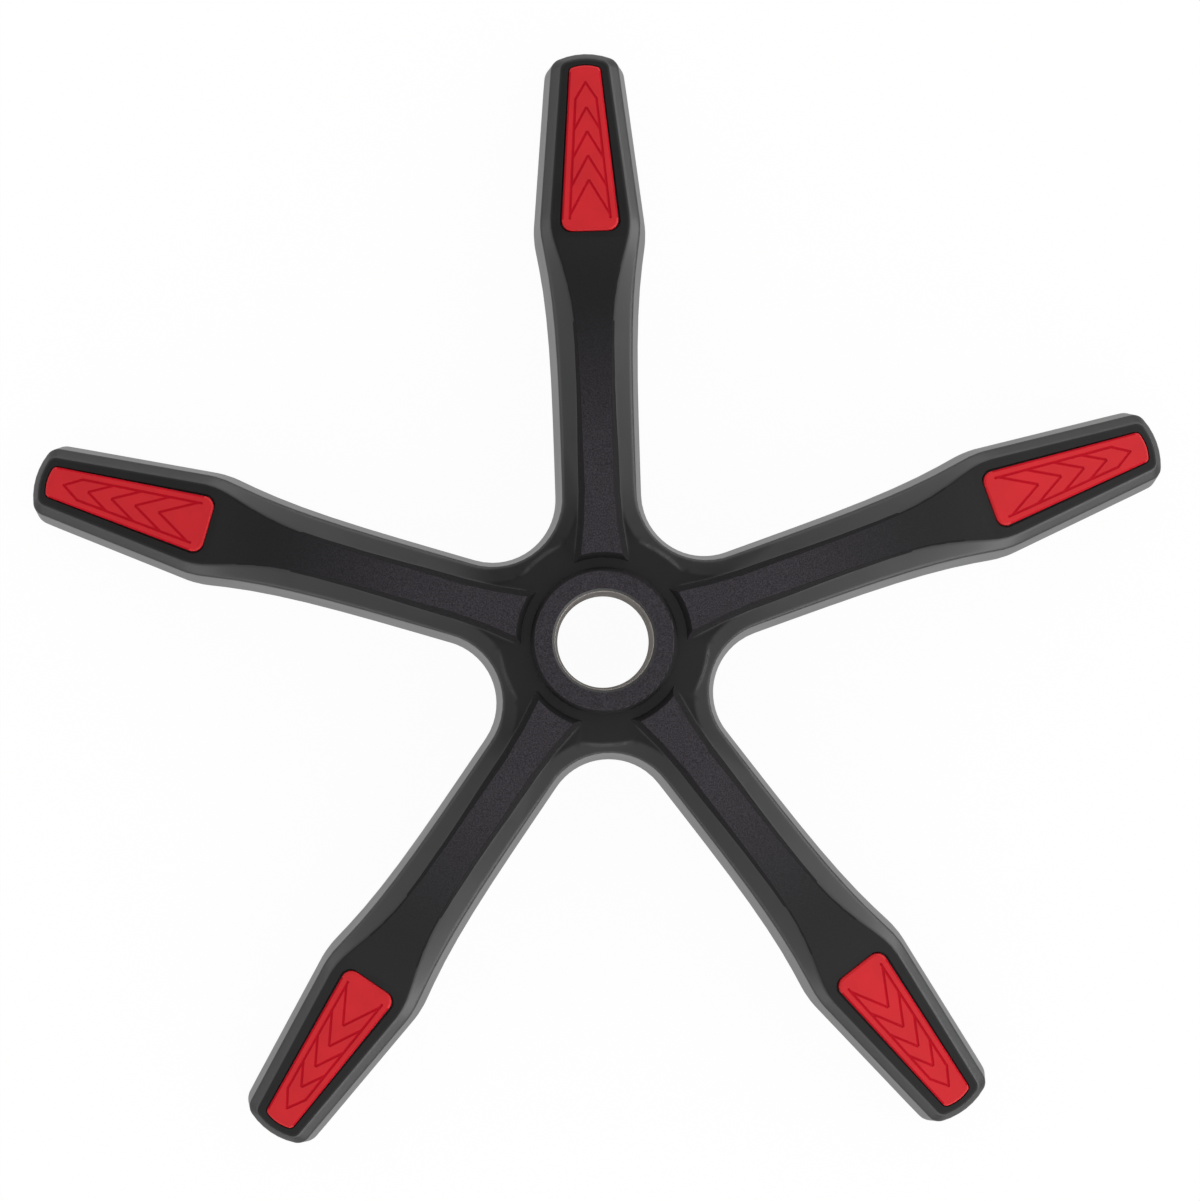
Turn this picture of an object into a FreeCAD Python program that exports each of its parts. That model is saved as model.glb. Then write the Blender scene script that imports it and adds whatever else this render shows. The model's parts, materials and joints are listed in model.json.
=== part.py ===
"""Five star base of an office chair: one ribbed nylon moulding, a steel lift sleeve and five foot pads.

Millimetres, +Z up. The origin is on the axis of the lift bore, at the sleeve's upper rim.
The first arm points along +Y and the others follow every 72 degrees.
In an arm's own frame u runs outwards along the arm, v across it and z up.
"""
import FreeCAD
import Part
import math
import os
import Sketcher

doc = FreeCAD.newDocument("FiveStarBase")
Vector = FreeCAD.Vector
UP = Vector(0, 0, 1)
ORIGIN = Vector(0, 0, 0)

# Driving dimensions
SIZES = [
    ("arm_count", 5, "arms of the star"),
    ("first_arm_angle", 90, "direction of the first arm, degrees from +X"),
    ("overall_height", 75, "feet to the top of the hub's boss"),
    ("lip_height", 1, "nylon lip above the sleeve's upper rim, up to the boss top"),
    ("lip_clearance", 0.3, "lip's hole wider than the sleeve's bore, on the radius"),
    ("lip_chamfer", 1.2, "width of the chamfer round the lip"),
    ("boss_radius", 35.7, "outer radius of the raised boss round the bore"),
    ("boss_rise", 5.4, "boss top above the hub's flat land"),
    ("boss_edge_round", 0.9, "rounding of the boss's outer edge"),
    ("boss_draft", 1.9, "how far the boss's side leans out on its way down to the land"),
    ("land_radius", 53.2, "radius of the hub's flat land"),
    ("hub_bottom", 17, "lower end of the hub's tube above the feet"),
    ("hub_tube_radius", 33, "outer radius of the hub's tube below the roof"),
    ("sleeve_bore_radius", 25, "bore of the steel sleeve at its upper rim"),
    ("sleeve_wall", 2, "wall of the steel sleeve at its upper rim"),
    ("sleeve_length", 55, "height of the steel sleeve"),
    ("gauge_length", 12, "straight stretch at the top of the sleeve's bore"),
    ("bore_taper", 1.2, "fall of the bore's radius from the straight stretch to its lower end"),
    ("sleeve_clearance", 0.05, "clearance round the sleeve in the nylon"),
    ("ledge_clearance", 0.6, "ledge's hole wider than the bore's lower end, on the radius"),
    ("root_half_width", 22.4, "half width of the arm's rim beside the hub"),
    ("inner_corner_radius", 32.9, "radius of the rim between two arms"),
    ("corner_edge_inset", 4.1, "upper edge of the side wall inside the rim, midway between two arms"),
    ("corner_slope_drop", 1.6, "drop of the sloping flank midway between two arms"),
    ("shoulder_reach", 211.5, "hub axis to the arm's widest place"),
    ("shoulder_half_width", 29.8, "half width of the rim where its two side lines meet"),
    ("shoulder_blend", 2.4, "how far the two side lines blend at the shoulder"),
    ("flare_power", 4, "how late the arm flares towards its shoulder"),
    ("tip_reach", 309, "hub axis to the end of the rim"),
    ("tip_half_width", 20.1, "half width of the rim carried on to its end"),
    ("tip_end_radius", 38, "radius of the rim's end seen from above"),
    ("tip_corner_radius", 9, "radius of the rim's end corners seen from above"),
    ("tip_corner_shrink", 0.8, "fall of that radius for each millimetre inside the rim"),
    ("edge_inset", 3.5, "upper edge of the side wall inside the rim"),
    ("end_edge_inset", 2.6, "the same at the arm's end"),
    ("strip_drop", 0.5, "raised strip's top below the boss top at the hub"),
    ("strip_end", 45.2, "hub axis to the inner end of the raised strip's top"),
    ("strip_end_foot", 42.4, "hub axis to the foot of that end"),
    ("strip_end_half_width", 10.3, "half width of the strip's top at its inner end"),
    ("strip_bend", 60, "hub axis to where the strip begins to widen towards the hub"),
    ("strip_bend_half_width", 8.4, "half width of the strip's top there"),
    ("strip_wall_width", 3.1, "width of the strip's side wall at the root"),
    ("strip_fade_reach", 165, "hub axis to where the strip's side wall has died out"),
    ("edge_bevel_width", 1.2, "bevel along the top's edge past that place"),
    ("edge_bevel_drop", 0.3, "depth of that bevel"),
    ("root_slope_width", 8.3, "width of the sloping flank at the root"),
    ("middle_slope_width", 9.5, "width of the sloping flank where it is widest"),
    ("slope_hold", 165, "hub axis to where the flank is widest"),
    ("pad_slope_width", 4.8, "width of the sloping flank beside the pad"),
    ("slope_settle", 13, "shoulder to where the flank has its width beside the pad"),
    ("end_slope_width", 3, "width of the sloping flank at the arm's end"),
    ("root_slope_drop", 2.3, "drop of the sloping flank at the root"),
    ("pad_edge_drop", 5, "top to the upper edge of the side wall beside the pad"),
    ("arch_start", 40, "hub axis to where the top begins to fall"),
    ("arch_radius", 760, "radius of the arm's arch"),
    ("ramp_start", 205, "hub axis to where the arch runs out into a straight ramp"),
    ("root_bottom", 19.5, "rim above the feet at the root"),
    ("tip_depth", 36.6, "depth of the arm at its end, before the feet are cut level"),
    ("side_wall", 3.2, "wall of the arm's sides"),
    ("roof_wall", 4.5, "wall of the arm's top"),
    ("rib_wall", 2.4, "thickness of the ribs"),
    ("rib_pitch", 27, "length of one crossed pair of ribs"),
    ("rib_rows", 7, "crossed pairs of ribs in an arm"),
    ("socket_reach", 288.5, "hub axis to a caster socket"),
    ("socket_radius", 5.55, "bore of a caster socket"),
    ("socket_depth", 26, "depth of a caster socket"),
    ("socket_wall", 5.2, "wall round a caster socket"),
    ("socket_roof", 6, "nylon above a socket's blind end"),
    ("pad_start", 211, "hub axis to the pad's inner end"),
    ("pad_length", 90.4, "length of the pad along the ramp"),
    ("pad_inner_half_width", 15.6, "half width of the pad at its inner end"),
    ("pad_outer_half_width", 8, "half width of the pad at its outer end"),
    ("pad_end_radius", 20, "radius of the pad's outer end"),
    ("pad_inner_corner", 5.2, "corner radius at the pad's inner end"),
    ("pad_outer_corner", 3, "corner radius at the pad's outer end"),
    ("pad_thickness", 3, "thickness of the pad's plate"),
    ("pad_edge_round", 1, "rounding of the pad's upper edge"),
    ("pad_recess", 1.8, "depth of the pad's seat in the arm"),
    ("pad_gap", 0.45, "gap round the pad in its seat"),
    ("peg_radius", 2.5, "radius of a pad's peg"),
    ("peg_length", 7, "length of a pad's peg below the plate"),
    ("peg_chamfer", 0.6, "chamfer at a peg's end"),
    ("peg_clearance", 0.1, "clearance round a peg"),
    ("peg_end_gap", 0.5, "peg's hole deeper than the peg"),
    ("peg_post_wall", 2.2, "wall round a peg's hole"),
    ("peg_post_floor", 1.5, "nylon below a peg's hole"),
    ("inner_peg", 16, "pad's inner end to its first peg"),
    ("outer_peg", 58, "pad's inner end to its second peg"),
    ("groove_width", 1.15, "width of the engraved lines"),
    ("groove_depth", 0.5, "depth of the engraved lines"),
    ("frame_foot", 6.6, "pad's inner end to the lower corners of the engraved frame"),
    ("frame_foot_half_width", 10.5, "half width of the engraved frame at those corners"),
    ("frame_shoulder", 71.5, "pad's inner end to the engraved frame's shoulders"),
    ("frame_shoulder_half_width", 5.5, "half width of the engraved frame there"),
    ("frame_tip", 80.7, "pad's inner end to the engraved frame's point"),
    ("chevron_first", 27.3, "pad's inner end to the first chevron's point"),
    ("chevron_pitch", 13.25, "step from one chevron to the next"),
    ("chevron_count", 4, "chevrons on a pad"),
    ("chevron_angle", 28.5, "angle between a chevron's leg and the pad's middle line"),
]

sheet = doc.addObject("Spreadsheet::Sheet", "Sizes")
for row, (alias, value, meaning) in enumerate(SIZES, start=1):
    sheet.set("A%d" % row, meaning)
    sheet.set("B%d" % row, str(value))
    sheet.setAlias("B%d" % row, alias)
doc.recompute()


def size(alias):
    """A driving dimension, read from the sheet."""
    return float(sheet.get(alias))


# Heights measured from the sleeve's upper rim
BOSS_TOP = size("lip_height")
FEET = BOSS_TOP - size("overall_height")
LAND = BOSS_TOP - size("boss_rise")
STRIP_TOP = BOSS_TOP - size("strip_drop")
ROOT_BOTTOM = FEET + size("root_bottom")
HUB_BOTTOM = FEET + size("hub_bottom")
SLEEVE_BOTTOM = -size("sleeve_length")

# Places that follow from the arms' number and width
ARM_STEP = 360.0 / size("arm_count")
HALF_STEP = math.radians(ARM_STEP / 2)
ARM_ANGLES = [size("first_arm_angle") + k * ARM_STEP for k in range(int(size("arm_count")))]
CORNER_V = size("root_half_width") + size("inner_corner_radius")
ROOT = CORNER_V / math.tan(HALF_STEP)
CORNER_REACH = CORNER_V / math.sin(HALF_STEP)

# The ramp under the pad
RAMP_FALL = (size("ramp_start") - size("arch_start")) / size("arch_radius")
RAMP_ANGLE = math.atan(RAMP_FALL)

# How far a cutting tool runs past what it cuts
SPARE = 5.0


def mix(low, high, share):
    return low + (high - low) * share


def limited(share):
    return min(max(share, 0.0), 1.0)


def smooth_step(share):
    """Rises from 0 to 1 with level ends."""
    share = limited(share)
    return share * share * (3 - 2 * share)


def top_height(u):
    """Height of the arm's top: level, then an arch, then a straight ramp."""
    arched = min(max(u, size("arch_start")), size("ramp_start")) - size("arch_start")
    past = max(u - size("ramp_start"), 0.0)
    return STRIP_TOP - arched ** 2 / (2 * size("arch_radius")) - past * RAMP_FALL


ROOT_DEPTH = top_height(ROOT) - ROOT_BOTTOM


def bottom_height(u):
    """Height of the rim, which nears the top as the arm gets slimmer."""
    share = (u - ROOT) / (size("tip_reach") - ROOT)
    return top_height(u) - mix(ROOT_DEPTH, size("tip_depth"), share)


def rim_half_width(u):
    """Half width of the rim: a late flare to the shoulder, then a straight taper to the tip."""
    shoulder, widest = size("shoulder_reach"), size("shoulder_half_width")
    share = max((u - ROOT) / (shoulder - ROOT), 0.0)
    flare = mix(size("root_half_width"), widest, share ** size("flare_power"))
    taper = mix(widest, size("tip_half_width"), (u - shoulder) / (size("tip_reach") - shoulder))
    blend = size("shoulder_blend")
    overlap = max(blend - abs(flare - taper), 0.0) / blend
    return min(flare, taper) - overlap ** 2 * blend / 4


def strip_share(u):
    """1 at the root and 0 from where the raised strip's side wall has died out."""
    return 1 - limited((u - ROOT) / (size("strip_fade_reach") - ROOT))


def slope_width(u):
    """Width of the sloping flank between the strip's foot and the side wall's upper edge."""
    hold = size("slope_hold")
    settled = size("shoulder_reach") + size("slope_settle")
    if u < hold:
        share = smooth_step((u - ROOT) / (hold - ROOT))
        return mix(size("root_slope_width"), size("middle_slope_width"), share)
    share = smooth_step((u - hold) / (settled - hold))
    return mix(size("middle_slope_width"), size("pad_slope_width"), share)


def section_points(u):
    """One side of the arm's section as (v, z) pairs: top edge, knee, foot, crest and rim."""
    top = top_height(u)
    strip = strip_share(u)
    crest_v = rim_half_width(u) - size("edge_inset")
    foot_v = crest_v - slope_width(u)
    wall_width = mix(size("edge_bevel_width"), size("strip_wall_width"), strip)
    wall_drop = mix(size("edge_bevel_drop"), top_height(ROOT) - LAND, strip)
    root_drop = top_height(ROOT) - LAND + size("root_slope_drop")
    share = smooth_step((u - ROOT) / (size("shoulder_reach") - ROOT))
    crest_drop = mix(root_drop, size("pad_edge_drop"), share)
    return [
        (foot_v - wall_width, top),
        (foot_v - wall_width / 2, top - wall_drop * mix(0.5, 0.75, strip)),
        (foot_v, top - wall_drop),
        (crest_v, top - crest_drop),
        (rim_half_width(u), bottom_height(u)),
    ]


def inner_points(u):
    """One side of the hollow's section as (v, z) pairs: under the roof, under the crest, below the rim."""
    edge, knee, foot, crest, rim = section_points(u)
    lean = (rim[0] - crest[0]) / (crest[1] - rim[1])
    wall = size("side_wall")
    return [
        (edge[0], edge[1] - size("roof_wall")),
        (crest[0] - wall + lean * wall, crest[1] - wall),
        (rim[0] - wall + lean * SPARE, rim[1] - SPARE),
    ]


def closed_section(u, points):
    """The whole section as a closed wire in the plane across the arm."""
    right = [Vector(u, -v, z) for v, z in points]
    left = [Vector(u, v, z) for v, z in reversed(points)]
    corners = right + left
    return Part.makePolygon(corners + corners[:1])


# Where the arm's sections are drawn, as shares of the way to the shoulder and on to the tip
SHARES_TO_SHOULDER = (0, 0.1, 0.22, 0.36, 0.5, 0.63, 0.75, 0.85, 0.93, 0.98)
SHARES_TO_TIP = (0.02, 0.06, 0.11, 0.18)
STATIONS = [mix(ROOT, size("shoulder_reach"), share) for share in SHARES_TO_SHOULDER]
STATIONS += [mix(size("shoulder_reach"), size("tip_reach"), share) for share in SHARES_TO_TIP]
JOINT = STATIONS[-1]


def straight_line(near, far):
    """Half width and height along a line of the section that runs straight from the joint to the tip."""
    length = size("tip_reach") - JOINT

    def half_width(u):
        return mix(near[0], far[0], (u - JOINT) / length)

    def height(u):
        return mix(near[1], far[1], (u - JOINT) / length)
    return half_width, height


def tip_outline(line, end, corner_radius):
    """Outline of the arm's end along one line of its section: sides, round corners and a round end."""
    half_width, height = line
    end_radius = size("tip_end_radius") - (size("tip_reach") - end)
    lean = math.atan2(half_width(JOINT) - half_width(end), end - JOINT)
    # The corner's centre lies a corner radius inside the side and inside the end's circle.
    start_u = JOINT - math.sin(lean) * corner_radius - (end - end_radius)
    start_v = half_width(JOINT) - math.cos(lean) * corner_radius
    slide = start_u * math.cos(lean) - start_v * math.sin(lean)
    spread = start_u ** 2 + start_v ** 2 - (end_radius - corner_radius) ** 2
    run = math.sqrt(slide ** 2 - spread) - slide
    centre_u = start_u + math.cos(lean) * run
    centre_v = start_v - math.sin(lean) * run
    side_angle = math.pi / 2 - lean
    end_angle = math.atan2(centre_v, centre_u)

    def corner_point(angle, side):
        u = end - end_radius + centre_u + corner_radius * math.cos(angle)
        v = centre_v + corner_radius * math.sin(angle)
        return Vector(u, side * v, height(u))

    def side_points(side):
        start = Vector(JOINT, side * half_width(JOINT), height(JOINT))
        angles = (side_angle, (side_angle + end_angle) / 2, end_angle)
        return [start] + [corner_point(angle, side) for angle in angles]

    right, left = side_points(-1), side_points(1)
    edges = [
        Part.LineSegment(right[0], right[1]).toShape(),
        Part.Arc(right[1], right[2], right[3]).toShape(),
        Part.Arc(right[3], Vector(end, 0, height(end)), left[3]).toShape(),
        Part.Arc(left[3], left[2], left[1]).toShape(),
        Part.LineSegment(left[1], left[0]).toShape(),
        Part.LineSegment(left[0], right[0]).toShape(),
    ]
    return Part.Wire(edges)


def outer_tip():
    """The arm's end past the joint, with its flank and side wall carried round the end."""
    near, far = section_points(JOINT), section_points(size("tip_reach"))
    rim_end = size("tip_reach")
    crest_end = rim_end - size("end_edge_inset")
    foot_end = crest_end - size("end_slope_width")
    edge_end = foot_end - size("edge_bevel_width")
    wires = []
    for index, end in ((0, edge_end), (2, foot_end), (3, crest_end), (4, rim_end)):
        corner_radius = size("tip_corner_radius") - size("tip_corner_shrink") * (rim_end - end)
        wires.append(tip_outline(straight_line(near[index], far[index]), end, corner_radius))
    return Part.makeLoft(wires, True, True)


def inner_tip():
    """The hollow of the arm's end."""
    near, far = inner_points(JOINT), inner_points(size("tip_reach"))
    below_end = size("tip_reach") - size("side_wall")
    crest_end = below_end - size("end_edge_inset")
    roof_end = crest_end - size("end_slope_width")
    corner_radius = size("tip_corner_radius") / 2
    wires = []
    for index, end in enumerate((roof_end, crest_end, below_end)):
        wires.append(tip_outline(straight_line(near[index], far[index]), end, corner_radius))
    return Part.makeLoft(wires, True, True)


def feature(name, shape):
    """A shape worked out from the sheet, kept in the document under a name."""
    made = doc.addObject("Part::Feature", name)
    made.Shape = shape
    return made


def cut(name, base, tool):
    made = doc.addObject("Part::Cut", name)
    made.Base = base
    made.Tool = tool
    return made


def fuse(name, pieces):
    made = doc.addObject("Part::MultiFuse", name)
    made.Shapes = pieces
    return made


def at(x, y, z):
    return FreeCAD.Placement(Vector(x, y, z), FreeCAD.Rotation())


def turned(angle):
    """Placement turned about the hub's axis."""
    return FreeCAD.Placement(ORIGIN, FreeCAD.Rotation(UP, angle))


def ramp_frame(start, lift):
    """Frame on the ramp: x outwards along it, z square to it, at a height above its surface."""
    square = Vector(math.sin(RAMP_ANGLE), 0, math.cos(RAMP_ANGLE))
    spot = Vector(start, 0, top_height(start)) + square * lift
    return FreeCAD.Placement(spot, FreeCAD.Rotation(Vector(0, 1, 0), math.degrees(RAMP_ANGLE)))


def cylinder(name, radius, height, placement):
    """An upright cylinder whose radius and height follow formulas on the sheet."""
    made = doc.addObject("Part::Cylinder", name)
    made.setExpression("Radius", radius)
    made.setExpression("Height", height)
    made.Placement = placement
    return made


def revolved(points):
    """A solid turned about the Z axis from (radius, height) corners."""
    corners = [Vector(radius, 0, z) for radius, z in points]
    return Part.Face(Part.makePolygon(corners + corners[:1])).revolve(ORIGIN, UP, 360)


def origin_plane(body, role):
    return next(item for item in body.Origin.OriginFeatures if item.Role == role)


def new_sketch(body, name, role):
    sketch = body.newObject("Sketcher::SketchObject", name)
    sketch.AttachmentSupport = [(origin_plane(body, role), "")]
    sketch.MapMode = "FlatFace"
    return sketch


def bind(sketch, constraint, label, formula):
    """Adds a dimension to a sketch and ties it to the sheet."""
    number = sketch.addConstraint(constraint)
    sketch.renameConstraint(number, label)
    sketch.setExpression("Constraints." + label, formula)


def corner_sketch(body, name, role, corners, arc_after=None, arc_radius=None):
    """A closed sketch whose corners, (x, y, x formula, y formula), are bound to the sheet.

    The side after corner number arc_after is an arc that bulges to +X, of radius (number, formula).
    """
    sketch = new_sketch(body, name, role)
    count = len(corners)
    for index, corner in enumerate(corners):
        start = Vector(corner[0], corner[1], 0)
        following = corners[(index + 1) % count]
        if index == arc_after:
            centre = Vector(start.x - math.sqrt(arc_radius[0] ** 2 - start.y ** 2), 0, 0)
            half = math.asin(abs(start.y) / arc_radius[0])
            sketch.addGeometry(Part.ArcOfCircle(Part.Circle(centre, UP, arc_radius[0]), -half, half), False)
        else:
            sketch.addGeometry(Part.LineSegment(start, Vector(following[0], following[1], 0)), False)
    for index in range(count):
        sketch.addConstraint(Sketcher.Constraint("Coincident", index, 2, (index + 1) % count, 1))
    for index, (x, y, x_formula, y_formula) in enumerate(corners):
        bind(sketch, Sketcher.Constraint("DistanceX", -1, 1, index, 1, float(x)), "x%d" % index, x_formula)
        bind(sketch, Sketcher.Constraint("DistanceY", -1, 1, index, 1, float(y)), "y%d" % index, y_formula)
    if arc_after is not None:
        bind(sketch, Sketcher.Constraint("Radius", arc_after, arc_radius[0]), "end_radius", arc_radius[1])
    return sketch


def turned_body(name, corners):
    """A body turned about Z from (radius, height, radius formula, height formula) corners."""
    body = doc.addObject("PartDesign::Body", name)
    sketch = corner_sketch(body, name + "_profile", "XZ_Plane", corners)
    turn = body.newObject("PartDesign::Revolution", name + "_turn")
    turn.Profile = (sketch, [""])
    turn.ReferenceAxis = (sketch, ["V_Axis"])
    turn.Angle = 360
    return body, turn


def dressed(body, kind, name, base, wanted, dimension, formula):
    """A fillet or chamfer on the edges of a feature that pass a test."""
    doc.recompute()
    names = ["Edge%d" % (index + 1) for index, edge in enumerate(base.Shape.Edges) if wanted(edge)]
    made = body.newObject(kind, name)
    made.Base = (base, names)
    made.setExpression(dimension, formula)
    return made


def upright(edge):
    return edge.BoundBox.ZLength > 0.9 * edge.Length


def level_at(edge, z):
    return abs(edge.BoundBox.ZMin - z) < 1e-4 and abs(edge.BoundBox.ZMax - z) < 1e-4


# Skin and hollow of one arm, from the root plane to the tip
skin_sections = [closed_section(u, section_points(u)) for u in STATIONS]
hollow_sections = [closed_section(u, inner_points(u)) for u in STATIONS]
arm_skin = fuse("arm_skin", [
    feature("skin_loft", Part.makeLoft(skin_sections, True, False)),
    feature("skin_tip", outer_tip()),
])
arm_hollow = fuse("arm_hollow", [
    feature("hollow_loft", Part.makeLoft(hollow_sections, True, False)),
    feature("hollow_tip", inner_tip()),
])


def arm_ribs():
    """A spine down the middle of an arm and crossed ribs between its side walls."""
    thick, pitch = size("rib_wall"), size("rib_pitch")
    low = FEET - SPARE
    tall = BOSS_TOP - low
    spine = Part.makeBox(size("tip_reach") - ROOT, thick, tall, Vector(ROOT, -thick / 2, low))
    run_end = size("socket_reach") - size("socket_radius") - size("socket_wall")
    ribs = []
    for row in range(int(size("rib_rows"))):
        middle = run_end - (row + 0.5) * pitch
        width = 2 * rim_half_width(max(middle, ROOT))
        length = math.hypot(pitch, width)
        for side in (1, -1):
            rib = Part.makeBox(length, thick, tall, Vector(-length / 2, -thick / 2, low))
            rib.rotate(ORIGIN, UP, side * math.degrees(math.atan2(width, pitch)))
            rib.translate(Vector(middle, 0, 0))
            ribs.append(rib)
    return spine.multiFuse(ribs)


# Caster socket and the posts that hold the pad's pegs
socket_column = cylinder(
    "socket_column", "Sizes.socket_radius + Sizes.socket_wall",
    "Sizes.socket_depth + Sizes.socket_roof", at(size("socket_reach"), 0, FEET))
socket_bore = cylinder(
    "socket_bore", "Sizes.socket_radius", "Sizes.socket_depth + %g" % SPARE,
    at(size("socket_reach"), 0, FEET - SPARE))
seat_frame = ramp_frame(size("pad_start"), -size("pad_recess"))
hole_bottom = -size("peg_length") - size("peg_end_gap")
peg_posts = []
peg_holes = []
for place in ("inner_peg", "outer_peg"):
    peg_posts.append(cylinder(
        place + "_post", "Sizes.peg_radius + Sizes.peg_clearance + Sizes.peg_post_wall",
        "Sizes.peg_length + Sizes.peg_end_gap + Sizes.peg_post_floor",
        seat_frame.multiply(at(size(place), 0, hole_bottom - size("peg_post_floor")))))
    peg_holes.append(cylinder(
        place + "_hole", "Sizes.peg_radius + Sizes.peg_clearance",
        "Sizes.peg_length + Sizes.peg_end_gap + Sizes.pad_recess",
        seat_frame.multiply(at(size(place), 0, hole_bottom))))
arm_inside = fuse("arm_inside", [feature("arm_ribs", arm_ribs()), socket_column] + peg_posts)
arm_cells = cut("arm_cells", arm_hollow, arm_inside)
arm_shell = cut("arm_shell", arm_skin, arm_cells)
arm_full = fuse("arm_full", [arm_shell, socket_column])


def pad_seat():
    """The pad's outline grown by its gap, as a tool that stands on the seat's floor."""
    length, radius = size("pad_length"), size("pad_end_radius")
    inner, outer = size("pad_inner_half_width"), size("pad_outer_half_width")
    shoulder = length - radius + math.sqrt(radius ** 2 - outer ** 2)
    corners = [
        Vector(0, -inner, 0), Vector(shoulder, -outer, 0), Vector(length, 0, 0),
        Vector(shoulder, outer, 0), Vector(0, inner, 0),
    ]
    edges = [
        Part.LineSegment(corners[0], corners[1]).toShape(),
        Part.Arc(corners[1], corners[2], corners[3]).toShape(),
        Part.LineSegment(corners[3], corners[4]).toShape(),
        Part.LineSegment(corners[4], corners[0]).toShape(),
    ]
    solid = Part.Face(Part.Wire(edges)).extrude(UP)
    for corner, x in (("pad_inner_corner", 0.0), ("pad_outer_corner", shoulder)):
        rounded = [e for e in solid.Edges if upright(e) and abs(e.BoundBox.XMin - x) < 0.01]
        solid = solid.makeFillet(size(corner), rounded)
    floor = next(face for face in solid.Faces if face.BoundBox.ZMax < 0.01)
    grown = floor.OuterWire.makeOffset2D(size("pad_gap"))
    return Part.Face(grown).extrude(UP * (size("pad_recess") + SPARE))


seat = feature("pad_seat", pad_seat())
seat.Placement = seat_frame
under_feet = doc.addObject("Part::Box", "under_feet")
under_feet.setExpression("Length", "2 * Sizes.tip_reach")
under_feet.setExpression("Width", "4 * Sizes.shoulder_half_width")
under_feet.setExpression("Height", "Sizes.tip_depth")
under_feet.Placement = at(ROOT, -2 * size("shoulder_half_width"), FEET - size("tip_depth"))
arm_cuts = fuse("arm_cuts", [seat, socket_bore, under_feet] + peg_holes)
arm = cut("arm", arm_full, arm_cuts)
doc.recompute()
arms = []
for number, angle in enumerate(ARM_ANGLES, start=1):
    placed = feature("arm_%d" % number, arm.Shape)
    placed.Placement = turned(angle)
    arms.append(placed)


# Hub: a plate whose sides are the arms' root planes, with the rim's round corners between the arms
def line_at(first, second, z):
    """The (v, z) pair at a height on the line through two others."""
    v = first[0] + (second[0] - first[0]) * (z - first[1]) / (second[1] - first[1])
    return v, z


def corner_tools(name, tool):
    """A tool made about a round corner's centre, with the hub towards -X, set in every corner."""
    copies = []
    for angle in ARM_ANGLES:
        copy = tool.translated(Vector(CORNER_REACH, 0, 0))
        copy.rotate(ORIGIN, UP, angle + ARM_STEP / 2)
        copies.append(copy)
    return feature(name, Part.makeCompound(copies))


def root_prism(name, bottom, top):
    """Upright prism whose sides lie in the root planes of the arms."""
    made = doc.addObject("Part::Prism", name)
    made.setExpression("Polygon", "Sizes.arm_count")
    made.Circumradius = ROOT / math.cos(HALF_STEP)
    made.Height = top - bottom
    turn = FreeCAD.Rotation(UP, size("first_arm_angle") + ARM_STEP / 2)
    made.Placement = FreeCAD.Placement(Vector(0, 0, bottom), turn)
    return made


root_edge, root_knee, root_foot, root_crest, root_rim = section_points(ROOT)
inner_edge, inner_crest, inner_rim = inner_points(ROOT)
tool_low = ROOT_BOTTOM - SPARE
tool_high = LAND + SPARE


def corner_wire(end, middle):
    """Sector about a corner's centre between two root planes, from (v, z) pairs at its ends and middle."""
    reach, turn = CORNER_V - end[0], math.pi / 2 - HALF_STEP
    start = Vector(-reach * math.cos(turn), -reach * math.sin(turn), end[1])
    finish = Vector(start.x, -start.y, start.z)
    centre = Vector(0, 0, end[1])
    return Part.Wire([
        Part.Arc(start, Vector(middle[0] - CORNER_V, 0, middle[1]), finish).toShape(),
        Part.LineSegment(finish, centre).toShape(),
        Part.LineSegment(centre, start).toShape(),
    ])


def outer_corner():
    """Tool for a corner's side wall and sloping flank, which is flatter midway between the arms."""
    middle_crest = (size("root_half_width") - size("corner_edge_inset"), LAND - size("corner_slope_drop"))
    low = line_at(root_crest, root_rim, tool_low)
    return Part.makeLoft([
        corner_wire(low, low),
        corner_wire(root_crest, middle_crest),
        corner_wire(line_at(root_crest, root_foot, tool_high), line_at(middle_crest, root_foot, tool_high)),
    ], True, True)


def inner_corner():
    """Tool that keeps the hub's hollow a wall's thickness away from a corner."""
    profile = [(CORNER_V - v, z) for v, z in (
        line_at(inner_crest, inner_rim, tool_low), line_at(inner_crest, inner_rim, tool_high))]
    return revolved([(0.0, tool_low)] + profile + [(0.0, tool_high)])


outer_corners = corner_tools("outer_corners", outer_corner())
inner_corners = corner_tools("inner_corners", inner_corner())
hub_plate = cut("hub_plate", root_prism("hub_prism", ROOT_BOTTOM, LAND), outer_corners)
hub_disc = cylinder(
    "hub_disc", "Sizes.land_radius", "Sizes.overall_height - Sizes.root_bottom - Sizes.boss_rise",
    at(0, 0, ROOT_BOTTOM))


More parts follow.
